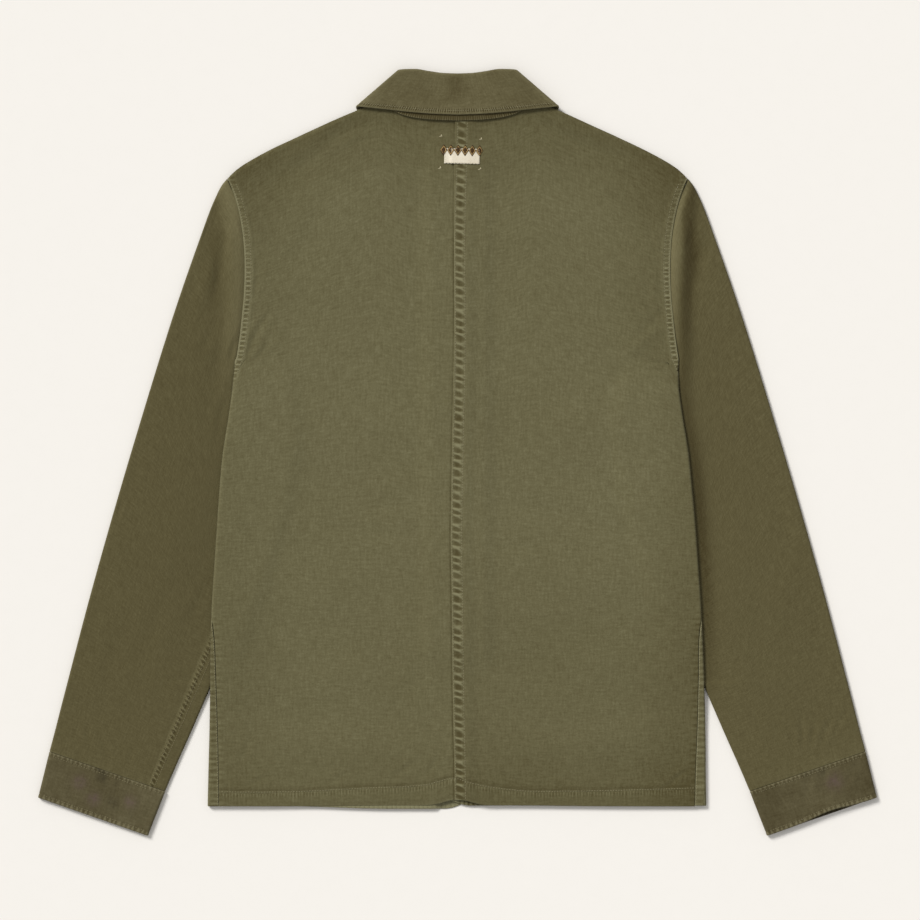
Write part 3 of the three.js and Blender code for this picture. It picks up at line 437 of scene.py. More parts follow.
def hidden_level(half, y):
    """The level that the back lies on: the upper front with its hems."""
    lapped = LAYER * (1 - smooth(24, 46, half)) * (1 - smooth(300, 330, y))
    hem_top = HEM_LEVEL + HEM_DEPTH
    hems = 2 * HEM_EXTRA * (1 - smooth(hem_top + 6, hem_top + 34, y))
    return front_level(half, y) + lapped + hems


def front_level(half, y):
    """A front, over the collar's leaf, the buttons and the sleeve."""
    folded = 0.6 * smooth(333, 347, y)
    over_leaf = (COLLAR_CLOTH + SEAM_GAP + folded) * leaf_cover(half, y)
    last = BUTTON_LEVELS[-1]
    ends = smooth(last - 62, last - 14, y) * (1 - smooth(292, 326, y))
    over_buttons = (BUTTON_THICK + SEAM_GAP) * ends * (1 - smooth(24, 60, half))
    return FLOOR_LEVEL + np.maximum(over_leaf, over_buttons) + over_sleeve(half, y)


def leaf_cover(half, y):
    """Where the collar's leaf lies under a front, from 0 to 1."""
    (low_half, low_y), (high_half, high_y) = LEAF_FRONT
    leaf_edge = low_half + ((y - low_y) * (high_half - low_half)) / (high_y - low_y)
    return smooth(188, 222, y) * (1 - smooth(leaf_edge + 14, leaf_edge + 52, half))


def over_sleeve(half, y):
    """How much the sleeve's under layer lifts a front beside it."""
    armhole = column(ARMHOLE, "y", "front", y)
    lap = LAYER * (1 - smooth(10, 26, armhole - half)) * smooth(ARMPIT_Y, ARMPIT_Y + 24, y)
    fold = np.where(y > ARMPIT_Y, armhole, column(SLEEVE_INNER, "y", "half", y))
    full = column(SIDE, "y", "under", y) - FLOOR_LEVEL
    faded = 1 - smooth(ARMPIT_Y + 4, ARMPIT_Y + 62, y)
    return np.maximum(lap, full * faded * smooth(fold - 40, fold - 5, half))


def side_turn(sign, y):
    """Where a body layer turns round the side fold: its lower level, radius and start."""
    under = column(SIDE, "y", "under", y)
    start = side_fold(sign, y) - 2
    for _ in range(4):
        radius = (back_level(sign, start, y) - under) / 2
        start = side_fold(sign, y) - radius - CLOTH / 2
    return under, radius, start


def seam_place(sign, y):
    """The side seam's place along the cloth, past the start of the turn from the back."""
    _, radius, _ = side_turn(sign, y)
    middle = (side_fold(-1, y) + side_fold(1, y)) / 2
    inside = column(SIDE, "y", "seam", y) + (side_fold(sign, y) - middle) * smooth(-60, 0, y)
    quarter = (math.pi / 2) * radius
    beyond = quarter + np.sign(inside) * (np.abs(inside) - radius + quarter)
    return np.where(np.abs(inside) < radius, quarter + (inside / radius) * quarter, beyond)


def side_gap(y):
    """Half the gap between back and front at the side seam."""
    return (SEAM_GAP / 2) * (1 + 1.3 * bell(column(SIDE, "y", "seam", y), 5))


def place(sign, half, y, z):
    """Points on one side of the body."""
    return np.stack(np.broadcast_arrays(sign * half, y, z), axis=-1).astype(float)


def turned(under, radius, start, past, y, sign):
    """Points round the side fold, from how far past its start they are along the cloth."""
    angle = np.clip(past / radius, 0, math.pi)
    centre = under + radius
    half = start + radius * np.sin(angle) - np.maximum(past - math.pi * radius, 0)
    return place(sign, half, y, centre + radius * np.cos(angle))


def shoulder_turn(sign, half):
    """The back's turn over the shoulder: its upper limit, share and radius."""
    top = column(BACK_TOP, "half", "y", half)
    under = front_level(half, top - 6) + LAYER + 0.2
    radius = np.maximum((back_level(sign, half, top - 4) - under) / 2, 0.62)
    return top, smooth(79, 92, half), radius


def back_cut(sign, half):
    """The cut edge of the back's shoulder, as it would lie flat."""
    top, share, radius = shoulder_turn(sign, half)
    return top + share * (0.72 * math.pi * radius - radius - CLOTH / 2)


def back_skin(sign, half, y):
    """Points of the back from their places on the flat cut, round both folds."""
    under, radius, start = side_turn(sign, y)
    round_side = turned(under, radius, start, np.maximum(half - start, 0), y, sign)
    top, share, turn = shoulder_turn(sign, half)
    begin = top - share * (turn + CLOTH / 2)
    angle = np.maximum(y - begin, 0) / turn
    centre = back_level(sign, half, begin) - turn
    over_top = place(sign, half, begin + turn * np.sin(angle), centre + turn * np.cos(angle))
    flat = place(sign, half, y, back_level(sign, half, y))
    points = np.where(((y <= begin) | (share == 0))[..., None], flat, over_top)
    wrapped = np.where(half > start, 1 - smooth(FOLD_TOP - 6, FOLD_TOP + 10, y), 0)
    return mix(points, round_side, wrapped[..., None])


def back_hem(half):
    """The back's lower edge, drawn up at the centre seam."""
    return HEM_LEVEL + 6.2 * bell(half - 2, 17) + 0.9 * bell(half - 60, 60)


def seam_edge(y):
    return column(SEAM_EDGE, "y", "x", y)


# Shells
class Shell:
    """A cloth wall round a middle surface, a lattice of points in rows."""

    def __init__(self, points, uv, closed=False):
        self.points = points
        self.uv = uv
        self.closed = closed
        self.normals = self.find_normals()
        rows, columns = points.shape[:2]
        self.out = np.zeros((rows, columns))
        self.inside = np.zeros((rows, columns))
        # How much paler or deeper each point is: where it is worn, and where a highlight or shade
        # is painted.
        self.wear_and_painted_light = np.full((rows, columns), 0.5)
        self.stain_and_shade = np.zeros((rows, columns))
        self.seam = np.zeros((rows, columns, 3))

    def find_normals(self):
        down = uneven_tangents(self.points, 0, False)
        along = uneven_tangents(self.points, 1, self.closed)
        normals = np.cross(down, along)
        return normals / np.maximum(np.linalg.norm(normals, axis=-1, keepdims=True), 1e-9)

    def face(self, row, across, up):
        """Turns the normals so that they point up, or down, at one place."""
        if self.normals[row, across, 2] * up < 0:
            self.normals = -self.normals

    def press(self, height):
        """Moves the whole wall along its normals."""
        self.points = self.points + self.normals * height[..., None]
        facing = self.normals
        self.normals = self.find_normals()
        if np.sum(facing * self.normals) < 0:
            self.normals = -self.normals

    def thicken(self, wall, radius):
        """Gives the wall its thickness, drawn in round its free edges."""
        edge = rounded(from_edge(self.points, 0), radius)
        if not self.closed:
            edge = edge * rounded(from_edge(self.points, 1), radius)
        self.out = wall / 2 * edge
        self.inside = wall / 2 * edge

    def emboss(self, relief, points, clear):
        """Adds fine relief to the outer skin. It fades out within clear of a free edge."""
        share = smooth(0, clear, from_edge(points, 0))
        if not self.closed:
            share = smooth(0, clear, from_edge(points, 1)) * share
        self.out = self.out + relief * share

    def build(self, name, material, slot):
        rows, columns = self.points.shape[:2]
        skin = self.points + self.normals * self.out[..., None]
        lining = self.points - self.normals * self.inside[..., None]
        places = np.concatenate([skin.reshape(-1, 3), lining.reshape(-1, 3)])
        faces, corners = lattice_faces(rows, columns, self.closed)
        spare = np.concatenate([self.uv.reshape(-1, 2)] * 2)
        marks = {"wear_and_painted_light": self.wear_and_painted_light, "stain_and_shade": self.stain_and_shade, "seam": self.seam}
        marks = {title: np.concatenate([one.ravel()] * 2) for title, one in marks.items()}
        piece = mesh_piece(name, places, faces, spare[corners.reshape(-1)], marks)
        return dress(piece, material)


def uneven_tangents(points, axis, closed):
    """Tangents of a lattice with uneven steps."""
    grid = np.moveaxis(points, axis, 0)
    if closed:
        before, after = grid - np.roll(grid, 1, 0), np.roll(grid, -1, 0) - grid
    else:
        steps = np.diff(grid, axis=0)
        before = np.concatenate([steps[:1], steps])
        after = np.concatenate([steps, steps[-1:]])
    a = np.maximum(np.linalg.norm(before, axis=-1, keepdims=True), 1e-9)
    b = np.maximum(np.linalg.norm(after, axis=-1, keepdims=True), 1e-9)
    return np.moveaxis(after / b * a + before / a * b, 0, axis)


def from_edge(points, axis):
    """Each point's distance along its row or column from the nearer end."""
    grid = np.moveaxis(points, axis, 0)
    steps = np.linalg.norm(np.diff(grid, axis=0), axis=-1)
    run = np.concatenate([np.zeros((1,) + steps.shape[1:]), np.cumsum(steps, axis=0)])
    return np.moveaxis(np.minimum(run, run[-1:] - run), 0, axis)


def rounded(distance, radius):
    """The share of its thickness that a wall has near a free edge."""
    near = np.clip(distance / radius, 0, 1)
    return np.maximum(np.sqrt(1 - (1 - near) ** 2), 0.35)


def lattice_faces(rows, columns, closed):
    """Quads of both skins and of the rims between them, with their corners' UV places."""
    across = columns if closed else columns - 1
    uv_columns = columns + 1 if closed else columns
    skin, uv_skin = rows * columns, rows * uv_columns
    i, j = np.meshgrid(np.arange(rows - 1), np.arange(across), indexing="ij")
    quad = [(i, j), (i, j + 1), (i + 1, j + 1), (i + 1, j)]

    def point(r, c):
        return r * columns + c % columns

    def spot(r, c):
        return r * uv_columns + c

    outer = np.stack([point(r, c) for r, c in quad], axis=-1).reshape(-1, 4)
    outer_uv = np.stack([spot(r, c) for r, c in quad], axis=-1).reshape(-1, 4)
    faces = [outer, outer[:, ::-1] + skin]
    corners = [outer_uv, outer_uv[:, ::-1] + uv_skin]
    c = np.arange(across)
    for row, flip in ((0, 1), (rows - 1, -1)):
        a, b = point(row, c), point(row, c + 1)
        ua, ub = spot(row, c), spot(row, c + 1)
        faces.append(np.stack([a + skin, b + skin, b, a], axis=-1)[:, ::flip])
        corners.append(np.stack([ua + uv_skin, ub + uv_skin, ub, ua], axis=-1)[:, ::flip])
    if not closed:
        r = np.arange(rows - 1)
        for end, flip in ((0, 1), (columns - 1, -1)):
            a, b = point(r, end), point(r + 1, end)
            ua, ub = spot(r, end), spot(r + 1, end)
            faces.append(np.stack([a, b, b + skin, a + skin], axis=-1)[:, ::flip])
            corners.append(np.stack([ua, ub, ub + uv_skin, ua + uv_skin], axis=-1)[:, ::flip])
    return np.concatenate(faces), np.concatenate(corners)


def volume(places, faces):
    """Six times the volume, negative where the faces look inwards."""
    a, b, c, d = (places[faces[:, k]] for k in range(4))
    return np.sum(np.cross(a, b) * c) + np.sum(np.cross(a, c) * d)


def mesh_piece(name, places, faces, uv=None, marks=None):
    """A mesh object from points in plan millimetres and faces of four corners."""
    resting = CLOTH_REST if marks else 0
    world = (np.maximum(places, [-np.inf, -np.inf, resting]) + plan_shift) * MM
    if volume(world, faces) < 0:
        faces = faces[:, ::-1]
        uv = None if uv is None else uv.reshape(-1, 4, 2)[:, ::-1].reshape(-1, 2)
    mesh = bpy.data.meshes.new(name)
    mesh.vertices.add(len(world))
    mesh.vertices.foreach_set("co", world.astype(np.float32).ravel())
    mesh.loops.add(faces.size)
    mesh.loops.foreach_set("vertex_index", faces.astype(np.int32).ravel())
    mesh.polygons.add(len(faces))
    mesh.polygons.foreach_set("loop_start", np.arange(0, faces.size, 4, dtype=np.int32))
    mesh.update(calc_edges=True)
    mesh.polygons.foreach_set("use_smooth", np.ones(len(faces), bool))
    if uv is not None:
        layer = mesh.uv_layers.new(name="grain")
        layer.uv.foreach_set("vector", (uv * MM).astype(np.float32).ravel())
    for title, values in (marks or {}).items():
        single = len(values) == len(world)
        kind, field = ("FLOAT", "value") if single else ("FLOAT_VECTOR", "vector")
        mesh.attributes.new(title, kind, "POINT").data.foreach_set(field, values)
    mesh.validate()
    piece = bpy.data.objects.new(name, mesh)
    bpy.context.scene.collection.objects.link(piece)
    return piece


def dress(piece, material):
    piece.data.materials.clear()
    piece.data.materials.append(material)
    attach(piece, "root")
    return piece


# Where the frame puts the plan's origin
button_low, button_high = (np.array(corner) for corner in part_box("button_1"))
button_middle = np.array([0, BUTTON_LEVELS[0], BUTTON_THICK / 2])
plan_shift = (button_low + button_high) / 2 / MM - button_middle


# Materials
def new_group(name, inputs, outputs):
    group = bpy.data.node_groups.new(name, "ShaderNodeTree")
    for title, kind, value in inputs:
        socket = group.interface.new_socket(title, in_out="INPUT", socket_type=kind)
        if value is not None:
            socket.default_value = value
    for title, kind in outputs:
        group.interface.new_socket(title, in_out="OUTPUT", socket_type=kind)
    return group, Wiring(group)


class Wiring:
    """Adds nodes to a tree and joins them, in short lines."""

    def __init__(self, tree):
        self.tree = tree

    def add(self, kind, **settings):
        node = self.tree.nodes.new(kind)
        for key, value in settings.items():
            setattr(node, key, value)
        return node

    def join(self, source, target):
        self.tree.links.new(source, target)

    def feed(self, socket, value):
        if isinstance(value, bpy.types.NodeSocket):
            self.join(value, socket)
        else:
            socket.default_value = value

    def math(self, operation, a, b=0.0, c=0.0, clamp=False):
        node = self.add("ShaderNodeMath", operation=operation, use_clamp=clamp)
        for socket, value in zip(node.inputs, (a, b, c)):
            self.feed(socket, value)
        return node.outputs[0]

    def noise(self, vector, scale, detail=2.0, rough=0.5):
        node = self.add("ShaderNodeTexNoise")
        self.feed(node.inputs["Vector"], vector)
        for title, value in (("Scale", scale), ("Detail", detail), ("Roughness", rough)):
            self.feed(node.inputs[title], value)
        return node.outputs["Fac"]

    def drift(self, value, weight, total):
        """Adds how far a value lies from its middle, by weight."""
        return self.math("MULTIPLY_ADD", self.math("SUBTRACT", value, 0.5), weight, total)

    def stretched(self, vector, scale):
        """A place scaled so that a pattern on it is drawn out one way."""
        node = self.add("ShaderNodeMapping")
        node.inputs["Scale"].default_value = scale
        self.join(vector, node.inputs["Vector"])
        return node.outputs["Vector"]

    def grain(self):
        return self.add("ShaderNodeUVMap", uv_map="grain").outputs["UV"]

    def where(self):
        return self.add("ShaderNodeTexCoord").outputs["Object"]

    def mark(self, name):
        """A mark that the mesh carries at each point."""
        return self.add("ShaderNodeAttribute", attribute_name=name)

    def relief(self, height, shader, distance, strength=1.0):
        bump = self.add("ShaderNodeBump")
        bump.inputs["Strength"].default_value = strength
        bump.inputs["Distance"].default_value = distance
        self.join(height, bump.inputs["Height"])
        self.join(bump.outputs["Normal"], shader.inputs["Normal"])

    def blend(self, share, a, b, mode="MIX"):
        node = self.add("ShaderNodeMix", data_type="RGBA", blend_type=mode)
        for index, value in ((0, share), (6, a), (7, b)):
            self.feed(node.inputs[index], value)
        return node.outputs[2]

    def ranged(self, value, low, high, to_low, to_high):
        node = self.add("ShaderNodeMapRange")
        for socket, number in zip(node.inputs, (value, low, high, to_low, to_high)):
            self.feed(socket, number)
        return node.outputs[0]


def weave_group():
    """Twill: slanted ribs crossed by the yarns of the weft, uneven from yarn to yarn."""
    group, w = new_group(
        "Twill weave",
        [("Vector", "NodeSocketVector", None), ("Ribs per metre", "NodeSocketFloat", 1300.0)],
        [("Height", "NodeSocketFloat"), ("Yarn", "NodeSocketFloat")],
    )
    start, end = w.add("NodeGroupInput"), w.add("NodeGroupOutput")
    grain = start.outputs["Vector"]
    parts = w.add("ShaderNodeSeparateXYZ")
    w.join(grain, parts.inputs[0])
    x, y = parts.outputs["X"], parts.outputs["Y"]
    turns = w.math("MULTIPLY", start.outputs["Ribs per metre"], 2 * math.pi)
    slant = w.math("MULTIPLY_ADD", x, 0.82, w.math("MULTIPLY", y, 0.57))
    wobble = w.math("MULTIPLY", w.noise(grain, 420.0, 1.0), 2.6)
    rib = w.math("SINE", w.math("MULTIPLY_ADD", slant, turns, wobble))
    weft_turns = w.math("MULTIPLY", turns, 1.35)
    weft = w.math("SINE", w.math("MULTIPLY_ADD", y, weft_turns, wobble))
    both = w.math("MULTIPLY_ADD", rib, 0.34, w.math("MULTIPLY", weft, 0.14))
    w.join(w.math("ADD", both, 0.5), end.inputs["Height"])
    w.join(w.noise(grain, 900.0, 2.0, 0.7), end.inputs["Yarn"])
    return group


def seam_group():
    """A seam's puckers, from its count, slant and depth at each place."""
    group, w = new_group(
        "Drawn seam", [("Place", "NodeSocketVector", None)], [("Pucker", "NodeSocketFloat")]
    )
    start, end = w.add("NodeGroupInput"), w.add("NodeGroupOutput")
    parts = w.add("ShaderNodeSeparateXYZ")
    w.join(start.outputs["Place"], parts.inputs[0])
    turn = w.math("MULTIPLY", parts.outputs["X"], 2 * math.pi)
    slant = w.math("MULTIPLY", parts.outputs["Y"], math.pi / 2)
    leans = [w.math("COSINE", w.math(way, turn, slant)) for way in ("ADD", "SUBTRACT")]
    ridge = w.math("MULTIPLY_ADD", w.math("MAXIMUM", *leans), 0.5, 0.5)
    ridge = w.math("MULTIPLY_ADD", w.math("POWER", ridge, 3.0), 1.95, -0.64)
    w.join(w.math("MULTIPLY", ridge, parts.outputs["Z"]), end.inputs["Pucker"])
    return group


def tone_group():
    """A dyed cloth's colour: broad and fine unevenness, paler where worn or a highlight is
    painted, deeper in seams or where shade is painted.
    """
    group, w = new_group(
        "Washed dye and painted light",
        [
            ("Vector", "NodeSocketVector", None), ("Grain", "NodeSocketVector", None),
            ("Deep", "NodeSocketColor", (0, 0, 0, 1)), ("Base", "NodeSocketColor", (0, 0, 0, 1)),
            ("Pale", "NodeSocketColor", (0, 0, 0, 1)), ("Wear and painted light", "NodeSocketFloat", 0.5),
            ("Yarn", "NodeSocketFloat", 0.5), ("Mottle", "NodeSocketFloat", 0.5),
        ],
        [("Color", "NodeSocketColor"), ("Roughness", "NodeSocketFloat")],
    )
    start, end = w.add("NodeGroupInput"), w.add("NodeGroupOutput")
    where, grain = start.outputs["Vector"], start.outputs["Grain"]
    broad = w.noise(where, 9.0, 3.0, 0.55)
    clouds = w.noise(where, 55.0, 3.0, 0.6)
    fleck = w.noise(grain, 480.0, 3.0, 0.75)
    weft = w.noise(w.stretched(grain, (0.22, 1.0, 1.0)), 420.0, 2.0, 0.6)
    warp = w.noise(w.stretched(grain, (1.0, 0.2, 1.0)), 420.0, 2.0, 0.6)
    slub = w.math("MULTIPLY", w.math("ADD", weft, warp), 0.5)
    uneven = w.drift(clouds, 0.45, w.drift(broad, 0.75, 0.0))
    worn = w.math("SUBTRACT", start.outputs["Wear and painted light"], 0.5)
    share = w.math("MULTIPLY_ADD", uneven, start.outputs["Mottle"], worn)
    share = w.drift(slub, 0.9, w.drift(fleck, 0.6, share))
    share = w.drift(start.outputs["Yarn"], 0.35, share)
    lighter = w.math("MULTIPLY", share, 2.0, clamp=True)
    darker = w.math("MULTIPLY", share, -2.0, clamp=True)
    colour = w.blend(lighter, start.outputs["Base"], start.outputs["Pale"])
    colour = w.blend(darker, colour, start.outputs["Deep"])
    w.join(colour, end.inputs["Color"])
    w.join(w.ranged(share, -0.5, 0.5, 0.97, 0.84), end.inputs["Roughness"])
    return group


TWILL_WEAVE = weave_group()
DRAWN_SEAM = seam_group()
DYE_AND_PAINTED_LIGHT = tone_group()
GAIN = 0.9  # how bright the cloths' colours are under this light


def srgb(red, green, blue, gain=1.0):
    """A colour from its display values out of 255, as light."""

    def linear(value):
        share = value / 255
        return share / 12.92 if share <= 0.04045 else ((share + 0.055) / 1.055) ** 2.4

    return tuple(linear(value) * gain for value in (red, green, blue)) + (1.0,)


def shaded(colour, gain):
    gains = gain if isinstance(gain, tuple) else (gain,) * 3
    return tuple(value * one for value, one in zip(colour, gains)) + (1.0,)


def new_material(name):
    material = bpy.data.materials.new(name)
    material.use_nodes = True
    w = Wiring(material.node_tree)
    return material, w, material.node_tree.nodes["Principled BSDF"]


def twill(name, base, mottle=0.2, stained_and_shaded=False):
    """A washed cotton twill that follows the cut piece's own grain."""
    material, w, shader = new_material(name)
    grain, where = w.grain(), w.where()
    weave = w.add("ShaderNodeGroup", node_tree=TWILL_WEAVE)
    weave.inputs["Ribs per metre"].default_value = 1250.0
    w.join(grain, weave.inputs["Vector"])
    tone = w.add("ShaderNodeGroup", node_tree=DYE_AND_PAINTED_LIGHT)
    w.join(where, tone.inputs["Vector"])
    w.join(grain, tone.inputs["Grain"])
    w.join(weave.outputs["Yarn"], tone.inputs["Yarn"])
    seam = w.add("ShaderNodeGroup", node_tree=DRAWN_SEAM)
    w.join(w.mark("seam").outputs["Vector"], seam.inputs["Place"])
    pucker = seam.outputs["Pucker"]
    # Puckers and the mark of worn places, which also carries painted highlights and painted shade.
    wear_and_painted_light = w.math("MULTIPLY_ADD", pucker, 0.7, w.mark("wear_and_painted_light").outputs["Fac"])
    w.join(wear_and_painted_light, tone.inputs["Wear and painted light"])
    tone.inputs["Deep"].default_value = shaded(base, (0.55, 0.5, 0.38))
    tone.inputs["Base"].default_value = base
    tone.inputs["Pale"].default_value = shaded(base, (1.6, 1.66, 1.9))
    tone.inputs["Mottle"].default_value = mottle
    colour = tone.outputs["Color"]
    if stained_and_shaded:
        # The mark of stains holds the cuffs' stains and, in the right cuff's mouth, painted shade;
        # its dark side darkens smudges and that painted shade alike.
        stain_and_shade = w.mark("stain_and_shade").outputs["Fac"]
        ragged = w.ranged(w.noise(where, 240.0, 4.0, 0.6), 0.3, 0.7, 0.3, 1.2)
        rough_edge = w.math("MULTIPLY", stain_and_shade, ragged)
        purple = w.math("MULTIPLY", rough_edge, 0.7, clamp=True)
        smudge_and_shade = w.math("MULTIPLY", rough_edge, -1.0, clamp=True)
        colour = w.blend(purple, colour, srgb(97, 80, 75, GAIN))
        colour = w.blend(smudge_and_shade, colour, shaded(base, 0.35))
    w.join(colour, shader.inputs["Base Color"])
    w.join(tone.outputs["Roughness"], shader.inputs["Roughness"])
    crumple = w.noise(w.stretched(grain, (0.45, 1.0, 1.0)), 150.0, 4.0, 0.6)
    height = w.math("MULTIPLY", weave.outputs["Height"], 0.55)
    height = w.math("MULTIPLY_ADD", weave.outputs["Yarn"], 0.6, height)
    height = w.math("MULTIPLY_ADD", crumple, 2.2, height)
    height = w.math("MULTIPLY_ADD", pucker, 1.6, height)
    w.relief(height, shader, 0.00022, 0.55)
    shader.inputs["Sheen Weight"].default_value = 0.05
    shader.inputs["Sheen Roughness"].default_value = 0.5
    shader.inputs["Specular IOR Level"].default_value = 0.22
    return material


def thread(name, base):
    """Twisted sewing thread."""
    material, w, shader = new_material(name)
    where = w.where()
    turn = w.add("ShaderNodeTexWave", wave_type="BANDS", bands_direction="DIAGONAL")
    turn.inputs["Scale"].default_value = 900.0
    w.join(where, turn.inputs["Vector"])
    uneven = w.noise(where, 160.0, 2.0, 0.6)
    share = w.math("MULTIPLY", w.math("ADD", turn.outputs["Fac"], uneven), 0.5)
    w.join(w.blend(share, shaded(base, 0.8), shaded(base, 1.35)), shader.inputs["Base Color"])
    w.join(w.ranged(uneven, 0.3, 0.7, 0.6, 0.8), shader.inputs["Roughness"])
    w.relief(turn.outputs["Fac"], shader, 0.0001)
    shader.inputs["Specular IOR Level"].default_value = 0.3
    return material


def corozo():
    """Polished nut: dark streaks that follow its growth."""
    material, w, shader = new_material("corozo nut")
    where = w.where()
    streaks = w.noise(w.stretched(where, (1.0, 0.16, 1.0)), 900.0, 4.0, 0.7)
    cloud = w.noise(where, 150.0, 2.0, 0.5)
    share = w.ranged(w.math("MULTIPLY_ADD", cloud, 0.5, streaks), 0.5, 1.0, 0.0, 1.0)
    w.join(w.blend(share, srgb(38, 27, 17), srgb(88, 66, 42)), shader.inputs["Base Color"])
    w.join(w.ranged(streaks, 0.3, 0.7, 0.34, 0.52), shader.inputs["Roughness"])
    w.relief(streaks, shader, 0.00005)
    return material


def tape():
    """Woven cream tape: fine plain ribs, a little soiled."""
    material, w, shader = new_material("woven tape")
    weave = w.add("ShaderNodeGroup", node_tree=TWILL_WEAVE)
    weave.inputs["Ribs per metre"].default_value = 1900.0
    w.join(w.grain(), weave.inputs["Vector"])
    soil = w.noise(w.where(), 190.0, 3.0, 0.6)
    cream = w.blend(soil, srgb(236, 224, 196, GAIN), srgb(250, 243, 226, GAIN))
    shade = w.ranged(weave.outputs["Height"], 0.1, 0.9, 0.9, 1.0)
    tint = w.add("ShaderNodeCombineColor")
    for socket in tint.inputs:
        w.join(shade, socket)
    w.join(w.blend(1.0, cream, tint.outputs[0], "MULTIPLY"), shader.inputs["Base Color"])
    w.join(w.ranged(soil, 0.3, 0.7, 0.7, 0.85), shader.inputs["Roughness"])
    w.relief(weave.outputs["Height"], shader, 0.00015)
    return material


BODY = srgb(105, 100, 70, GAIN)
# The sleeves are the body's cloth made darker: painted shade for how the light falls on their
# grain.
SHADED_SLEEVE_TONE = srgb(91, 84, 54, GAIN)
COLLAR_TONE = srgb(97, 90, 61, GAIN)
CUFF_TONE = srgb(89, 82, 56, GAIN)
body_cloth = twill("body twill", BODY)
sleeve_cloth = twill("sleeve twill", SHADED_SLEEVE_TONE, mottle=0.1)
collar_cloth = twill("collar twill", COLLAR_TONE, mottle=1.1)
cuff_cloth = twill("cuff twill", CUFF_TONE, mottle=1.1, stained_and_shaded=True)
body_thread = thread("body thread", srgb(136, 129, 98, GAIN))
sleeve_thread = thread("sleeve thread", srgb(122, 114, 84, GAIN))
cream_thread = thread("cream thread", srgb(214, 204, 170, GAIN))
gold_thread = thread("gold thread", srgb(176, 146, 92, GAIN))
brown_thread = thread("brown thread", srgb(72, 50, 22, GAIN))
button_nut = corozo()
cream_tape = tape()


# Backs
def back_ends(sign, levels):
    """The far end of each row: the armhole above, the side seam below the fold's top."""
    armhole = column(ARMHOLE, "y", "back", levels)
    low = np.minimum(levels, FOLD_TOP - 3)
    _, _, start = side_turn(sign, low)
    seam = start + seam_place(sign, low) - side_gap(low)
    return mix(seam, armhole, smooth(FOLD_TOP - 4, FOLD_TOP + 7, levels))


def edge_rows(start, end, step):
    """Places from start to end, closer at both ends where the edge is rounded."""
    margin = 1.2
    down = 1 if end > start else -1
    near = EDGE_STEPS * down
    middle = spaced(start + margin * down, end - margin * down, step)
    return np.concatenate([start + near, middle, end - near[::-1]])


def row_places(first, ends, turn_start, count, field=2.9):
    """Places across each row: close at both ends and round the side fold."""
    low, run = first[:, None] + EDGE_MARGIN, (ends - first - 2 * EDGE_MARGIN)[:, None]
    half = low + run * np.linspace(0, 1, 900)[None, :]
    from_start, from_end = half - first[:, None], ends[:, None] - half
    round_turn = half - turn_start[:, None]
    density = 1 / field + 0.55 * bell(np.maximum(from_start - 12, 0), 5)
    density = density + 0.5 * bell(np.maximum(from_end - 10, 0), 5)
    density = density + 0.9 * bell(round_turn - 2.5, 4.5)
    inner = low + run * share_by_density(density, count)
    near, far = first[:, None] + EDGE_STEPS, ends[:, None] - EDGE_STEPS[::-1]
    return np.concatenate([near, inner, far], axis=1)


def back_panel(sign):
    top_cut = float(back_cut(sign, np.array(SHOULDER_HALF)))
    levels = edge_rows(top_cut, HEM_LEVEL, 1.95)
    ends = back_ends(sign, levels)
    first = seam_edge(levels) if sign > 0 else np.full(len(levels), -LAP_LEFT)
    _, _, start = side_turn(sign, levels)
    turn_start = mix(start, ends - 3, smooth(FOLD_TOP - 3, FOLD_TOP + 12, levels))
    half = row_places(first, ends, turn_start, count=100)
    level = levels[:, None] + 0 * half
    end = ends[:, None] + 0 * half
    towards_top = 1 - smooth(20, 420, top_cut - level)
    towards_hem = 1 - smooth(2, 60, level - HEM_LEVEL)
    raised = towards_top * (back_cut(sign, half) - back_cut(sign, end))
    hem = towards_hem * (back_hem(np.abs(half)) - HEM_LEVEL)
    y = level + raised + hem
    around = smooth(-9, -1, half - start[:, None])
    y = mix(y, level, around * (1 - smooth(FOLD_TOP - 4, FOLD_TOP + 40, level)))
    points = back_skin(sign, half, y)
    x = sign * half
    strip = seam_edge(y)
    if sign > 0:
        felled_end = strip + FELL["width"]
        points[..., 2] += LAYER * (1 - smooth(felled_end - 1, felled_end + 15, half))
    from_hem = y - back_hem(np.abs(half))
    resting = 1 - (smooth(150, 200, half) if sign < 0 else smooth(8, 40, half))
    points[..., 2] -= 0.55 * (1 - smooth(0, 6, from_hem)) * resting
    grain = np.stack([x, level], axis=-1)
    shell = Shell(points, grain)
    shell.face(len(levels) // 2, 40, 1)
    inside_side = side_fold(sign, y) - half
    free = smooth(0.5, 8, np.abs(half)) * smooth(2, 12, inside_side)
    rise = creases(BACK_CREASES, x, y) + waves(x, y, 3, 105, 0.3) + waves(x, y, 5, 46, 0.1)
    in_hem = y - column(HEM_LINE, "x", "y", x)
    hem_flat = smooth(-16, 6, in_hem) * 0.75 + 0.25
    shell.press(rise * free * hem_flat)
    relief, wear_and_painted_light, shell.seam = back_relief(sign, half, x, y, level, end, in_hem, strip)
    shell.thicken(CLOTH, 0.8)
    shell.emboss(relief, points, 0.6)
    shell.wear_and_painted_light = np.clip(wear_and_painted_light, 0, 1)
    return shell


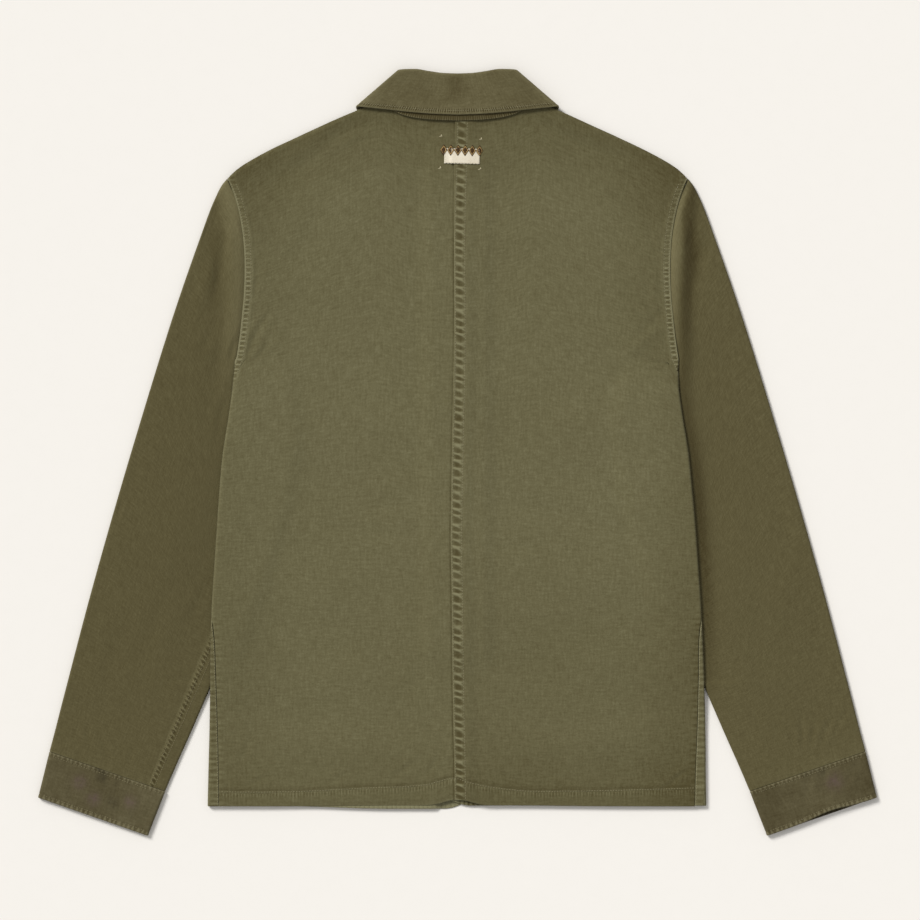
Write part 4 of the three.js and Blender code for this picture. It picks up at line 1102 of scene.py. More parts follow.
def back_relief(sign, half, x, y, level, end, in_hem, strip):
    """The fine relief of the back's seams, where it is paler or deeper, and its puckers."""
    outward = half - strip if sign > 0 else half + strip
    if sign > 0:
        centre, flat_rows = felled(y, outward, FELL, 11, 0.9, 8.05)
        wear_and_painted_light = 0.5 + 0.26 * bell(outward - 1.1, 0.8)
        wear_and_painted_light = wear_and_painted_light + 0.08 * bell(outward - FELL["second"], 0.9)
        wear_and_painted_light = wear_and_painted_light - 0.05 * smooth(2, 3, outward) * (1 - smooth(10, 14, outward))
    else:
        spread = puckers(y, outward, 12, 8.3, -0.3, 0.33)
        near_seam = smooth(0.5, 2, outward) * (1 - smooth(3, 14, outward))
        centre = np.zeros(half.shape + (3,))
        flat_rows = 0.22 * spread * near_seam
        # The dark line beside the right back's folded edge is a painted shadow.
        wear_and_painted_light = 0.5 + 0.06 * (spread - 0.4) * near_seam - 0.4 * bell(outward, 1.2)
    inward = end - half
    armhole = smooth(FOLD_TOP - 26, FOLD_TOP - 8, level)
    to_arm = armhole_line(y) - half
    arm, arm_rows = felled(y, to_arm, ARM_FELL, 21 + sign, 0.3, 4.7)
    low_arm = 1 - smooth(175, 205, y)
    arm[..., 2] *= (0.3 + 0.6 * low_arm) * armhole
    edge_light = 0.48 * bell(to_arm - 0.7, 1.0) + 0.1 * (1 - smooth(7, 10, to_arm))
    wear_and_painted_light = wear_and_painted_light + (edge_light + 0.06 * (1 - smooth(7, 10, to_arm)) * low_arm) * armhole
    faint_below = 0.14 + 0.86 * smooth(-7.5, -3, in_hem)
    band = (1 - smooth(-1.4, 0.2, in_hem)) * faint_below * smooth(-15, -12, in_hem)
    hem = drawn_in(x, 3.1, 31 + sign, 0.4 * in_hem / HEM_DEPTH, 0.34 * band)
    drawn = puckers(x, in_hem, 33 + sign, 5.0, 0.3, 0.3)
    above = smooth(0.3, 1.6, in_hem) * (1 - smooth(3, 16, in_hem))
    hem_rows = 0.4 * drawn * above - 0.25 * bell(in_hem, 0.8)
    # Painted shade in the crease above the hem's row of stitches; paler just below it.
    wear_and_painted_light = wear_and_painted_light - 0.16 * bell(in_hem - 2.2, 1.6) + 0.08 * bell(in_hem + 0.6, 1.2)
    low = smooth(-150, -175, level)
    near_side = low * (1 - smooth(1.5, 10, inward))
    side = drawn_in(y, 6.4, 41 + sign, 0.4, 0.2 * near_side)
    rungs = puckers(y, 0 * y, 51, 3.4) * smooth(-353, -346, y) * (1 - smooth(-318, -311, y))
    ladder = 0.2 * rungs * bell(x - 192, 1.6)
    seam = deeper(deeper(centre, arm), deeper(hem, side))
    central = centre_share(half)
    near = 0.26 * central + 0.18 * (1 - central)
    relief = near * pucker_height(seam) + flat_rows * central + arm_rows * armhole
    relief = relief + hem_rows + ladder - 0.15 * bell(inward, 1.2) * low
    hem_light = 0.12 + 0.26 * bell(x + 15, 14)
    wear_and_painted_light = wear_and_painted_light + 0.25 * ladder + hem_light * bell(y - back_hem(np.abs(half)), 1.2)
    # A painted highlight along the back's edge at the neck, lightening the shadow under the stand.
    from_top = column(BACK_TOP, "half", "y", np.abs(half)) - y
    wear_and_painted_light = wear_and_painted_light + 0.3 * bell(from_top, 1.8) * (1 - smooth(50, 76, half))
    fold_light = 0.08 * bell(side_fold(sign, y) - half, 3) * (1 - armhole)
    # Painted shade along the lower side seam of the right back.
    wear_and_painted_light = wear_and_painted_light + fold_light - 0.12 * near_side * (sign > 0)
    return relief, wear_and_painted_light - painted_edge_shade(sign, half, y, inward), seam


def armhole_line(y):
    """The armhole seam, which slants off over the side fold at its lower end."""
    return column(ARMHOLE, "y", "back", y) + 0.3 * np.maximum(FOLD_TOP + 6 - y, 0)


def centre_share(half):
    return 1 - smooth(22, 30, np.abs(half))


def painted_edge_shade(sign, half, y, inward):
    """Painted shade on the back: darker towards its shoulders, sides, hem and lower half,
    more on the right side than the left.
    """
    shoulder = column(BACK_TOP, "half", "y", np.abs(half)) - y
    top = 0.12 * (1 - smooth(2, 26, shoulder)) + 0.16 * (1 - smooth(24, 95, shoulder))
    side, hem, low = (0.16, 0.14, 0.08) if sign > 0 else (0.08, 0.1, 0.03)
    sides = side * (1 - smooth(6, 80, inward)) * (1 - smooth(300, 340, y))
    return top + sides + hem * (1 - smooth(-356, -270, y)) + low * (1 - smooth(-260, -60, y))


# Fronts
def front_panel(sign):
    steps = np.arange(len(FRONT_ROWS))
    levels = edge_rows(FRONT_ROWS[0], FRONT_ROWS[-1], 3.0)
    row = np.interp(-levels, -FRONT_ROWS, steps)
    neck_half, neck_y = neck_line(np.clip(row / NECK_STEPS, 0, 1))
    start = FRONT_ROWS[NECK_STEPS]
    end_half, end_y = neck_line(1.0)
    past = row > NECK_STEPS
    inner_half = np.where(past, end_half, neck_half)
    inner_y = np.where(past, levels + (end_y - start) * smooth(-120, start, levels), neck_y)
    _, radius, turn = side_turn(sign, levels)
    seam = turn + math.pi * radius - seam_place(sign, levels) - side_gap(levels)
    ends = np.where(levels > ARMPIT_Y, column(ARMHOLE, "y", "front", levels), seam)
    turn_start = np.where(levels > ARMPIT_Y, ends - 3, turn)
    half = row_places(inner_half, ends, turn_start, count=64, field=4.6)
    level = levels[:, None] + 0 * half
    share = (half - inner_half[:, None]) / (ends - inner_half)[:, None]
    chord = mix(inner_y[:, None], level, share)
    curve = 1 - smooth(0, 130, levels[0] - level)
    shoulder = column(BACK_TOP, "half", "y", half) - 3.2
    straight = mix(float(neck_line(0.0)[1]), levels[0], share)
    top = np.where(half > 81, curve * (shoulder - straight) * smooth(81, 95, half), 0)
    hem = 1 - smooth(2, 60, level - HEM_LEVEL)
    drop = -2.6 * (1 - smooth(70, 170, half)) if sign < 0 else 0.6
    drop = hem * (drop + 8 * (1 - smooth(-FRONT_LAP, -FRONT_LAP + 30, half)))
    y = chord + top + drop
    hem_extra = HEM_EXTRA * smooth(-HEM_DEPTH - 2, -HEM_DEPTH + 2, HEM_LEVEL - level)
    lap = LAYER + hem_extra if sign > 0 else 0
    points = front_skin(sign, half, y, level, lap)
    peeping = 1 - smooth(HEM_LEVEL + 2, HEM_LEVEL + 26, y)
    if sign < 0:
        points[..., 2] += 2.9 * peeping * (1 - smooth(150, 200, half)) * smooth(18, 24, half)
    else:
        points[..., 2] += 0.7 * peeping * (1 - smooth(-5, 4, half))
    grain = np.stack([sign * half + 900, level], axis=-1)
    shell = Shell(points, grain)
    shell.face(len(levels) // 2, 20, -1)
    past_seam = ends[:, None] - half
    low = smooth(-150, -175, level)
    from_front = half - inner_half[:, None]
    strip = low * (1 - smooth(7, 12, past_seam))
    side = drawn_in(y, 6.2, 61 + sign, 0.5 * past_seam / 8, 0.3 * strip)
    teeth = 1 - smooth(HEM_DEPTH - 1, HEM_DEPTH + 1, y - (HEM_LEVEL + drop))
    hem = drawn_in(sign * half, 4.6, 63 + sign, 0.5, 0.6 * teeth * (1 - strip))
    placket = drawn_in(y, 7.5, 65 + sign, 0.3, 0.4 * bell(from_front - 2.5, 3) * (1 - teeth))
    shell.seam = deeper(deeper(side, hem), placket)
    shell.thicken(CLOTH, 0.8)
    shell.emboss(0.2 * pucker_height(shell.seam), points, 0.6)
    seam_wear = 0.42 * bell(past_seam, 1.0) * low - (0.18 if sign < 0 else 0.08) * strip
    # Painted highlight on the hem where it shows below the back, and on the right front near the
    # middle a painted shadow under the back's hem.
    hem_painted_light = 0.5 * teeth * (1 - smooth(120, 180, half))
    if sign > 0:
        hem_painted_light = hem_painted_light - 1.0 * teeth * bell(half - 15, 12)
    shell.wear_and_painted_light = np.clip(0.5 + seam_wear + hem_painted_light, 0, 1)
    return shell


def front_skin(sign, half, y, level, lap):
    """Points of a front: flat, round the side fold and on the upper side."""
    flat = place(sign, half, y, front_level(half, y) + lap * (1 - smooth(25, 40, half)))
    under, radius, start = side_turn(sign, level)
    back = math.pi * radius - (half - start)
    round_side = turned(under, radius, start, np.maximum(back, 0), y, sign)
    on_back = place(sign, start + back, y, back_level(sign, start + back, y))
    past = np.where((back >= 0)[..., None], round_side, on_back)
    return np.where(((level <= ARMPIT_Y) & (half > start))[..., None], past, flat)


# Sleeves
def sleeve_start(curve, away, fade):
    """Where a sleeve's layer begins, lapped under the body except at its ends."""
    def at(share):
        half, y = curve(share)
        lap = 5 * smooth(0.03, 0.12, share) * (1 - smooth(fade, fade + 0.14, share))
        return half + away - lap, y - away * smooth(0.8, 1, share)

    return at


top_start = sleeve_start(back_armhole, 0.7, 0.56)
under_start = sleeve_start(front_armhole, 0.7, 0.7)


def sleeve_plan(edge, across, along):
    """A place between the sleeve's two folds and its two ends."""
    starts, outer, inner = edge(across), outer_fold(along), inner_fold(along)
    near, far = (edge(0.0), edge(1.0)), (outer_fold(1.0), inner_fold(1.0))
    result = []
    for k in range(2):
        cuff = mix(far[0][k], far[1][k], across)
        lines = (1 - along) * starts[k] + along * cuff
        folds = (1 - across) * outer[k] + across * inner[k]
        corner = (1 - along) * mix(near[0][k], near[1][k], across)
        result.append(lines + folds - corner - along * cuff)
    return result


def sleeve_rise(half, y, along):
    """The sleeve's height: low under the body, full beside it."""
    edge = side_fold(-1, y) + 3
    edge = np.where(y > FOLD_TOP, side_fold(-1, FOLD_TOP) + 3 - 1.3 * (y - FOLD_TOP), edge)
    edge = np.where(y < -235, inner_fold(along)[0] - 16, edge)
    return SLEEVE_HIDDEN + (SLEEVE_FULL - SLEEVE_HIDDEN) * smooth(edge, edge + 46, half)


FOLD_STEPS = 1 - np.cos(np.linspace(0, math.pi / 2, 6))


def ring_places(width, radius, top_shares, under_shares):
    """Places round a flattened tube: across, which layer, and how full it is there."""
    fold = FOLD_STEPS * radius / width
    across = np.concatenate(
        [fold, top_shares, 1 - fold[::-1], 1 - fold[1:], under_shares, fold[:0:-1]]
    )
    full = np.concatenate(
        [FOLD_STEPS, 1 + 0 * top_shares, FOLD_STEPS[::-1], FOLD_STEPS[1:],
         1 + 0 * under_shares, FOLD_STEPS[:0:-1]]
    )
    top_count = 2 * len(fold) + len(top_shares)
    layer = np.where(np.arange(len(across)) < top_count, 1, -1)
    return across, layer, np.sqrt(np.maximum(0, 1 - (1 - full) ** 2))


def tube_lattice(alongs, outer, inner, radius, top_shares, under_shares):
    """A flattened tube's width at each row, and for each point how far it is along and
    across, its layer and how full the tube is there."""
    width = np.hypot(outer[0] - inner[0], outer[1] - inner[1])
    rings = [ring_places(one, radius, top_shares, under_shares) for one in width]
    across, layer, round_up = (np.array(part) for part in zip(*rings))
    return width, alongs[:, None] + 0 * across, across, layer, round_up


def tube_grain(layer, across, along, girth, start, length):
    """The cloth's own places round a tube, with the closing column once more."""
    ring_run = np.where(layer > 0, across, 2 - across) * girth
    grain = np.stack([ring_run + start, -along * length], axis=-1)
    closing = grain[:, :1] + np.array([2 * girth, 0])
    return np.concatenate([grain, closing], axis=1)


# Painted light on the sleeve beside the body: how strong a painted highlight is next to it on
# each side, where the trough outside its roll lies, and how deep the painted shade in it is.
PAINTED_LIGHT_BESIDE = table(
    "y pale_left pale_right trough deep",
    (282, 0.45, 0.35, 9, 0.3), (247, 0.45, 0.4, 12.5, 0.36), (206, 0.36, 0.45, 22, 0.44),
    (165, 0.28, 0.35, 17, 0.36), (124, 0.26, 0.15, 10, 0.3), (84, 0.12, 0, 4.5, 0.26),
    (33, 0, 0, 4, 0.34), (-29, 0, 0, 5, 0.44), (-110, 0, 0, 5, 0.44), (-192, 0, 0, 5, 0.26),
    (-240, 0, 0, 5, 0.1), (-262, 0, 0, 5, 0),
)
# The soft roll that the sleeve makes beside the body: its crest's distance and its height.
ROLL = table(
    "y crest high",
    (282, 3, 0.4), (262, 5, 1.8), (220, 8, 2.7), (175, 9.5, 2.7), (130, 6.5, 2.3),
    (95, 3.5, 1.6), (60, 3, 0.8), (20, 3, 0),
)


def from_body(sign, half, y):
    """The distance from the body's edge."""
    return half - np.where(y > FOLD_TOP, column(ARMHOLE, "y", "back", y), side_fold(sign, y))


def beside_painted_light(sign, half, y):
    """Painted light on the sleeve: a painted highlight beside the body, less painted shade
    in the trough outside its roll.
    """
    away = from_body(sign, half, y)
    if sign < 0:
        valley = 0.12 * bell(away - 30, 6) * smooth(130, 160, y) * (1 - smooth(215, 240, y))
        return column(PAINTED_LIGHT_BESIDE, "y", "pale_left", y) * (1 - smooth(3, 26, away)) - valley
    trough = column(PAINTED_LIGHT_BESIDE, "y", "trough", y)
    pale = column(PAINTED_LIGHT_BESIDE, "y", "pale_right", y) * (1 - smooth(0.3 * trough, 0.75 * trough, away))
    outer = np.where(away > trough, 8.5, 0.42 * trough + 1.5)
    return pale - column(PAINTED_LIGHT_BESIDE, "y", "deep", y) * bell(away - trough, outer)


def beside_body(sign, half, y):
    """The roll's height at a place of the sleeve."""
    away = from_body(sign, half, y)
    crest = column(ROLL, "y", "crest", y)
    rise = smooth(-2.5, 0.5 * crest + 1, away) * (1 - smooth(crest + 1, crest + 13, away))
    hollow = 0.22 * bell(away - crest - 17, 7)
    return column(ROLL, "y", "high", y) * (rise - hollow) * (1.0 if sign > 0 else 0.72)


def sleeve(sign):
    alongs = np.concatenate([
        [0, 0.0005, 0.0011], np.linspace(0.0025, 0.9965, 252), [0.9986, 0.9994, 0.9999],
    ])
    dense = np.linspace(0.02, 0.83, 40)
    top_shares = np.concatenate([dense, np.linspace(0.845, 0.975, 15)])
    under_shares = np.linspace(0.97, 0.03, 26)
    outer, inner = outer_fold(alongs), inner_fold(alongs)
    width, along, across, layer, round_up = tube_lattice(
        alongs, outer, inner, 1.6, top_shares, under_shares
    )
    top = sleeve_plan(top_start, across, along)
    low = sleeve_plan(under_start, across, along)
    # The two layers share the folds' lines, so the change from one to the other is smooth.
    half = np.where(layer > 0, top[0], low[0])
    y = np.where(layer > 0, top[1], low[1])
    full = sleeve_rise(half, y, along) / 2
    flat_top = (layer > 0) & (round_up > 0.99)
    swelling = np.where(flat_top, soft_folds(SLEEVE_SWELLS, half, y), 0)
    points = place(sign, half, y, FLOOR_LEVEL + full + layer * full * round_up + swelling)
    grain_start = 2000 * (sign + 2)
    grain = tube_grain(layer, across, along, np.mean(width), grain_start, SLEEVE_LENGTH)
    shell = Shell(points, grain, closed=True)
    shell.face(len(alongs) // 2, 25, 1)
    x = sign * half
    free = (layer > 0) * smooth(0.004, 0.03, across) * smooth(0.004, 0.03, 1 - across)
    shown = smooth(0.0, 0.04, along) * (1 - smooth(0.985, 1, along))
    rise = creases(SLEEVE_CREASES, x, y)
    rise = rise + waves(x, y, 8 + sign, 90, 0.25) + waves(x, y, 9, 38, 0.09)
    shell.points[..., 2] += beside_body(sign, half, y) * flat_top * smooth(0, 0.02, along)
    shell.press(rise * free * shown)
    from_inner = (1 - across) * width[:, None]
    run = along * SLEEVE_LENGTH
    relief, wear_and_painted_light, shell.seam = sleeve_relief(sign, run, across, from_inner, layer, y)
    wear_and_painted_light = wear_and_painted_light + beside_painted_light(sign, half, y) * (layer > 0)
    shell.thicken(CLOTH, 0.4)
    shell.emboss(relief, points, 0.8)
    shell.wear_and_painted_light = np.clip(wear_and_painted_light, 0, 1)
    return shell


def sleeve_relief(sign, run, across, from_inner, layer, y):
    """The sleeve's fine relief, its worn places, a painted highlight at its cuff end, and its
    puckers. The underarm seam has rolled on to the upper side of the left sleeve and the under
    side of the right one."""
    on_top = layer > 0
    seam_in, seam_side = UNDERARM_INSET[sign], on_top if sign < 0 else ~on_top
    seam, rows = felled(run, from_inner - seam_in, UNDERARM_FELL, 72 + sign, 1.0, 7.4)
    seam[..., 2] *= seam_side
    line_light = 0.3 * bell(from_inner - seam_in - UNDERARM_FELL["width"], 0.8) * seam_side
    last = SLEEVE_LENGTH - run
    gathers = 0.34 * puckers(across * 122, 0 * run, 75 + sign, 9, 0.0, 0.34) * bell(last, 14)
    head = 0.12 * puckers(y, 0 * y, 77 + sign, 9) * bell(run, 9) * on_top
    relief = 0.5 * pucker_height(seam) + rows * seam_side + gathers * on_top + head
    # 0.3 * bell(last, 0.9) is a painted highlight that lightens the shade in the groove at the
    # cuff.
    wear_and_painted_light = 0.5 + line_light + 0.3 * (gathers + head) + 0.3 * bell(last, 0.9) - 0.15 * bell(run, 2)
    wear_and_painted_light = wear_and_painted_light - 0.05 * (sign < 0)
    return relief, wear_and_painted_light, seam


# Cuffs
def cuff(sign):
    alongs = np.concatenate(
        [[0.0015, 0.008, 0.017], np.linspace(0.03, 0.97, 34), [0.981, 0.992, 1]]
    )
    top_shares = np.linspace(0.03, 0.97, 62)
    under_shares = np.linspace(0.96, 0.04, 26)
    ends = {"outer": outer_fold(1.0), "inner": inner_fold(1.0)}
    outer = [mix(ends["outer"][k], CUFF_END["outer"][k], alongs) for k in range(2)]
    inner = [mix(ends["inner"][k], CUFF_END["inner"][k], alongs) for k in range(2)]
    width, along, across, layer, round_up = tube_lattice(
        alongs, outer, inner, CUFF_FULL, top_shares, under_shares
    )
    opened = bell(across - CUFF_MOUTH["at"], CUFF_MOUTH["wide"]) * smooth(0.3, 1, along)
    opened = opened * ((layer > 0) & (sign > 0))
    half = mix(outer[0][:, None], inner[0][:, None], across)
    y = mix(outer[1][:, None], inner[1][:, None], across)
    y = y + CUFF_MOUTH["back"] * opened * smooth(0.6, 1, along)
    middle = CUFF_CLOTH / 2 + CUFF_FULL
    level = middle + layer * CUFF_FULL * round_up + CUFF_MOUTH["high"] * opened
    points = place(sign, half, y, level)
    girth = float(np.mean(width))
    grain = tube_grain(layer, across, along, girth, 5000 + 600 * sign, CUFF_DEPTH)
    shell = Shell(points, grain, closed=True)
    shell.face(len(alongs) // 2, 30, 1)
    x = sign * half
    on_top = (layer > 0) & (round_up > 0.99)
    free = on_top * smooth(0.015, 0.05, across) * smooth(0.015, 0.05, 1 - across)
    shell.press((creases(CUFF_CREASES, x, y) + waves(x, y, 14 + sign, 40, 0.2)) * free)
    run, round_run = along * CUFF_DEPTH, across * girth
    last = CUFF_DEPTH - run
    upper, lower = run - CUFF_ROWS["upper"], last - CUFF_ROWS["lower"]
    above = 0.55 * bell(upper + 2.4, 2.6)
    below = 0.7 * bell(lower + 2.6, 2.8)
    shell.seam = deeper(
        drawn_in(round_run, 4.6, 81 + sign, 0.5 * upper / 4, above),
        drawn_in(round_run, 5.2, 83 + sign, 0.6 * lower / 4, below),
    )
    relief = 0.3 * pucker_height(shell.seam) - 0.25 * bell(upper, 0.8) - 0.25 * bell(lower, 0.8)
    shell.thicken(CUFF_CLOTH, 0.5)
    shell.emboss(relief, points, 0.8)
    # Paler at the cuff's lower edge, where it is worn; at its upper edge a painted highlight that
    # lightens the shade in the groove beside the sleeve.
    worn = 0.26 * bell(last, 3.0) + 0.36 * bell(run, 1.2)
    # Painted shade inside the right cuff's open mouth, on its under layer, in both marks.
    inside = 0.9 * bell(across - CUFF_MOUTH["at"], 0.17) * bell(last, 6)
    inside = inside * ((layer < 0) & (sign > 0))
    shell.wear_and_painted_light = np.clip(0.46 + worn - inside - 0.1 * (sign > 0), 0, 1)
    shell.stain_and_shade = shell.stain_and_shade - inside
    for at_x, at_y, wide, deep in zip(*CUFF_STAINS.values()):
        away = np.hypot(x - at_x, y - at_y)
        shell.stain_and_shade = shell.stain_and_shade + deep * bell(away, wide) * (layer > 0)
    return shell


# Collar
def sections(rows, key_x, key_y, places):
    """A table's columns at places along its line, as lengths in plan and height."""
    run = np.hypot(np.diff(rows[key_x]), np.diff(rows[key_y]))
    lift = np.diff(rows["far"] if "far" in rows else rows["low"])
    knots = np.concatenate([[0], np.cumsum(np.hypot(run, lift))])
    at = places(knots)
    return at, {name: hermite(knots, rows[name], at, gentle=True) for name in rows}


def collar_places(knots):
    fold_start, fold_end = knots[COLLAR_FOLD[0]] - 3, knots[COLLAR_FOLD[1]] - 4
    return np.concatenate([
        spaced(0, fold_start, 1.9)[:-1], spaced(fold_start, fold_end, 0.55)[:-1],
        spaced(fold_end, knots[-1] - EDGE_MARGIN, 2.4), knots[-1] - EDGE_STEPS[::-1],
    ])


def collar_leaf():
    run, rows = sections(COLLAR, "edge_x", "edge_y", collar_places)
    length = np.hypot(rows["edge_x"] - rows["crease_x"], rows["edge_y"] - rows["crease_y"])
    near = (1 - np.cos(np.linspace(0, math.pi / 2, 7))) * CREASE_ROLL
    inner = [np.linspace(CREASE_ROLL + 1.0, one - EDGE_MARGIN, 24) for one in length]
    down = np.array([
        np.concatenate([near, row, one - EDGE_STEPS[::-1]]) for row, one in zip(inner, length)
    ])
    share = down / length[:, None]
    round_up = np.sqrt(np.maximum(0, 1 - (1 - np.minimum(down / CREASE_ROLL, 1)) ** 2))
    across = {name: values[:, None] for name, values in rows.items()}
    z = mix(across["crease"], mix(across["near"], across["far"], share), round_up)
    x = mix(across["crease_x"], across["edge_x"], share)
    y = mix(across["crease_y"], across["edge_y"], share)
    points = both_halves(place(1, x, y, z))
    down = np.concatenate([down[:0:-1], down])
    run = np.concatenate([-run[:0:-1], run])[:, None] + 0 * down
    shell = Shell(points, np.stack([run + 9000, -down], axis=-1))
    shell.face(len(points) // 2, 15, 1)
    to_edge = length[:, None] - share * length[:, None]
    to_edge = np.concatenate([to_edge[:0:-1], to_edge])
    on_back = 1 - smooth(88, 100, np.abs(run))
    px, py = points[..., 0], points[..., 1]
    rise = waves(px, py, 17, 60, 0.16) + waves(px, py, 18, 26, 0.05)
    shell.press(rise * on_back * smooth(1, 7, down))
    row = to_edge - 3.7
    teeth = smooth(1.4, 2.4, to_edge) * (1 - smooth(4.6, 6.4, to_edge))
    shell.seam = drawn_in(run, 2.35, 91, 0.0, 1.3 * teeth)
    ruck = puckers(run, row, 91, 6.0, 0.25, 0.33)
    relief = 0.14 * ruck * bell(to_edge - 2, 4) - 0.2 * bell(row, 0.8)
    shell.thicken(COLLAR_CLOTH, 1.0)
    shell.emboss(relief, points, 0.7)
    worn = 0.34 * bell(to_edge, 0.9) + 0.1 * bell(down, 2.4) + 0.2 * bell(np.abs(run) - 101, 3.5)
    worn = worn + 0.05 * (1 - smooth(4, 20, to_edge)) - 0.14 * bell(row, 1.4)
    brown = -0.26 * bell(run + 2, 15) * bell(down - 13, 15) - 0.07 * bell(np.abs(run) - 60, 20)
    shell.wear_and_painted_light = np.clip(0.5 + worn + brown, 0, 1)
    return shell


def both_halves(points):
    mirrored = points[:0:-1] * np.array([-1, 1, 1])
    return np.concatenate([mirrored, points])


def beside_neck(share):
    """A place just inside the fronts' neck seam."""
    here = neck_line(share)
    before, after = (neck_line(np.clip(share + step, 0, 1)) for step in (-0.04, 0.04))
    dx, dy = after[0] - before[0], after[1] - before[1]
    off = STAND_FRONT["set_off"] / np.hypot(dx, dy)
    return here[0] + dy * off, here[1] - dx * off


def collar_stand():
    def stand_places(knots):
        return np.concatenate([spaced(0, knots[4], 2.0)[:-1], spaced(knots[4], knots[-1], 0.7)])

    run, rows = sections(STAND, "low_x", "low_y", stand_places)
    count = len(run)
    shares = np.concatenate([spaced(STAND_FRONT["start"], 0.99, 0.012), [0.995, 0.998, 1]])
    edge = beside_neck(shares)
    top_share = (shares - STAND_FRONT["start"]) / (1 - STAND_FRONT["start"])
    level = np.full(len(shares), STAND_FRONT["level"])
    top_end = STAND_FRONT["x"] - 14 * smooth(0.7, 1, top_share)
    front = {
        "top_x": mix(STAND["top_x"][-1] - 2, top_end, top_share),
        "top_y": mix(STAND["top_y"][-1] - 6, STAND_FRONT["y"], top_share),
        "low_x": edge[0], "low_y": edge[1], "top": level, "low": level,
    }
    rows = {name: np.concatenate([rows[name], front[name]])[:, None] for name in front}
    is_front = (np.arange(count + len(shares)) >= count)[:, None]
    share = np.concatenate([[0, 0.008, 0.02], np.linspace(0.05, 0.95, 16), [0.975, 0.99, 1]])
    share = share[None, :]
    x, y = mix(rows["top_x"], rows["low_x"], share), mix(rows["top_y"], rows["low_y"], share)
    z = mix(rows["top"], rows["low"], np.where(is_front, share, 1 - (1 - share) ** 1.8))
    halves = []
    for sign in (-1, 1):
        lapped = (STAND_CLOTH + SEAM_GAP) * is_front * (sign > 0)
        over = lapped * (1 - smooth(25, 40, x)) * (1 - smooth(290, 306, y))
        halves.append(place(sign, x, y, z + over))
    points = np.concatenate([halves[0][:0:-1], halves[1]])
    steps = np.linalg.norm(np.diff(points[:, -1], axis=0), axis=-1)
    length = np.concatenate([[0], np.cumsum(steps)])[:, None] + 0 * points[..., 0]
    shell = Shell(points, np.stack([length + 12000, -40 * share + 0 * length], axis=-1))
    shell.face(len(points) // 2, 10, 1)
    shell.thicken(STAND_CLOTH, 0.8)
    low = (1 - share) * 47
    shell.seam = drawn_in(length, 2.3, 95, 0.0, 0.8 * (1 - smooth(2.4, 4.2, low)))
    across_back = np.abs(points[..., 0])
    # Painted shadow on the stand where the collar's fall overhangs it, strongest at the back.
    deep = 0.95 * smooth(0.2, 2.0, low) * (1 - smooth(14, 24, low))
    deep = deep * (0.45 + 0.6 * (1 - smooth(22, 58, across_back)))
    shell.wear_and_painted_light = np.clip(0.5 + 0.15 * bell(low, 0.8) - deep, 0, 1)
    return shell


# Label
def label_patch():
    turn = math.radians(LABEL["turn"])
    across = np.concatenate([[0, 0.008, 0.02], np.linspace(0.04, 0.96, 36), [0.98, 0.992, 1]])
    down = np.concatenate([[0, 0.02, 0.05], np.linspace(0.1, 0.9, 14), [0.95, 0.98, 1]])
    u, v = np.meshgrid((across - 0.5) * LABEL["width"], (0.5 - down) * LABEL["height"])
    ragged = 0.22 * np.sin(u * 1.9) * (np.abs(v) > 0.45 * LABEL["height"])
    x = LABEL["x"] + u * math.cos(turn) - (v + ragged) * math.sin(turn)
    y = LABEL["y"] + u * math.sin(turn) + (v + ragged) * math.cos(turn)
    half = np.abs(x)
    end = FELL["width"] + seam_edge(y)
    lapped = LAYER * (1 - smooth(end - 1, end + 15, x)) * smooth(-9.5, -5.5, x)
    sign = np.where(x < 0, -1, 1)
    under = np.where(sign < 0, back_level(-1, half, y), back_level(1, half, y)) + lapped
    z = under + CLOTH / 2 + SEAM_GAP + 0.25 + LABEL["thick"] / 2
    z = z + waves(x, y, 23, 14, 0.08)
    shell = Shell(place(1, x, y, z), np.stack([u + 14000, v], axis=-1))
    shell.face(8, 20, 1)
    shell.thicken(LABEL["thick"], 0.5)
    return shell


# Stitches
STITCH_SIDES = 6


def stitch_shape():
    """One stitch along x, about one unit long and of unit radius: three rings and two ends."""
    rings = [(-0.48, 0.5), (0.0, 1.0), (0.48, 0.5)]
    turn = np.arange(STITCH_SIDES) * 2 * math.pi / STITCH_SIDES
    round_x, round_y = np.cos(turn), np.sin(turn)
    points = [np.stack([0 * turn + x, r * round_x, r * round_y], axis=-1) for x, r in rings]
    faces = []
    for ring in range(len(rings) - 1):
        for k in range(STITCH_SIDES):
            n = (k + 1) % STITCH_SIDES
            a, b = ring * STITCH_SIDES, (ring + 1) * STITCH_SIDES
            faces.append((a + k, a + n, b + n, b + k))
    last = (len(rings) - 1) * STITCH_SIDES
    faces += [(3, 2, 1, 0), (0, 5, 4, 3)]
    faces += [(last, last + 1, last + 2, last + 3), (last + 3, last + 4, last + 5, last)]
    return np.concatenate(points), np.array(faces)


STITCH = stitch_shape()


def tree_of(piece):
    """A piece's faces, to be found by a ray."""
    mesh = piece.data
    places = [vertex.co for vertex in mesh.vertices]
    return BVHTree.FromPolygons(places, [polygon.vertices[:] for polygon in mesh.polygons])


def touch(trees, x, y, from_above):
    """The surface point and its normal above or below a place in plan."""
    level = 0.05 if from_above else -0.05
    start = Vector(((x + plan_shift[0]) * MM, (y + plan_shift[1]) * MM, level))
    way = Vector((0, 0, -1 if from_above else 1))
    best = None
    for tree in trees:
        spot, normal, _, distance = tree.ray_cast(start, way)
        if spot is not None and (best is None or distance < best[2]):
            best = (spot, normal, distance)
    if best is None:
        return None
    spot = np.array(best[0]) / MM - plan_shift
    return spot, np.array(best[1])


def resampled(path, pitch):
    """Even places along a line in plan."""
    path = np.asarray(path, float)
    steps = np.hypot(*np.diff(path, axis=0).T)
    run = np.concatenate([[0], np.cumsum(steps)])
    count = max(int(run[-1] / pitch), 1)
    at = (np.arange(count) + 0.5) * run[-1] / count
    return np.stack([np.interp(at, run, path[:, k]) for k in range(2)], axis=-1)


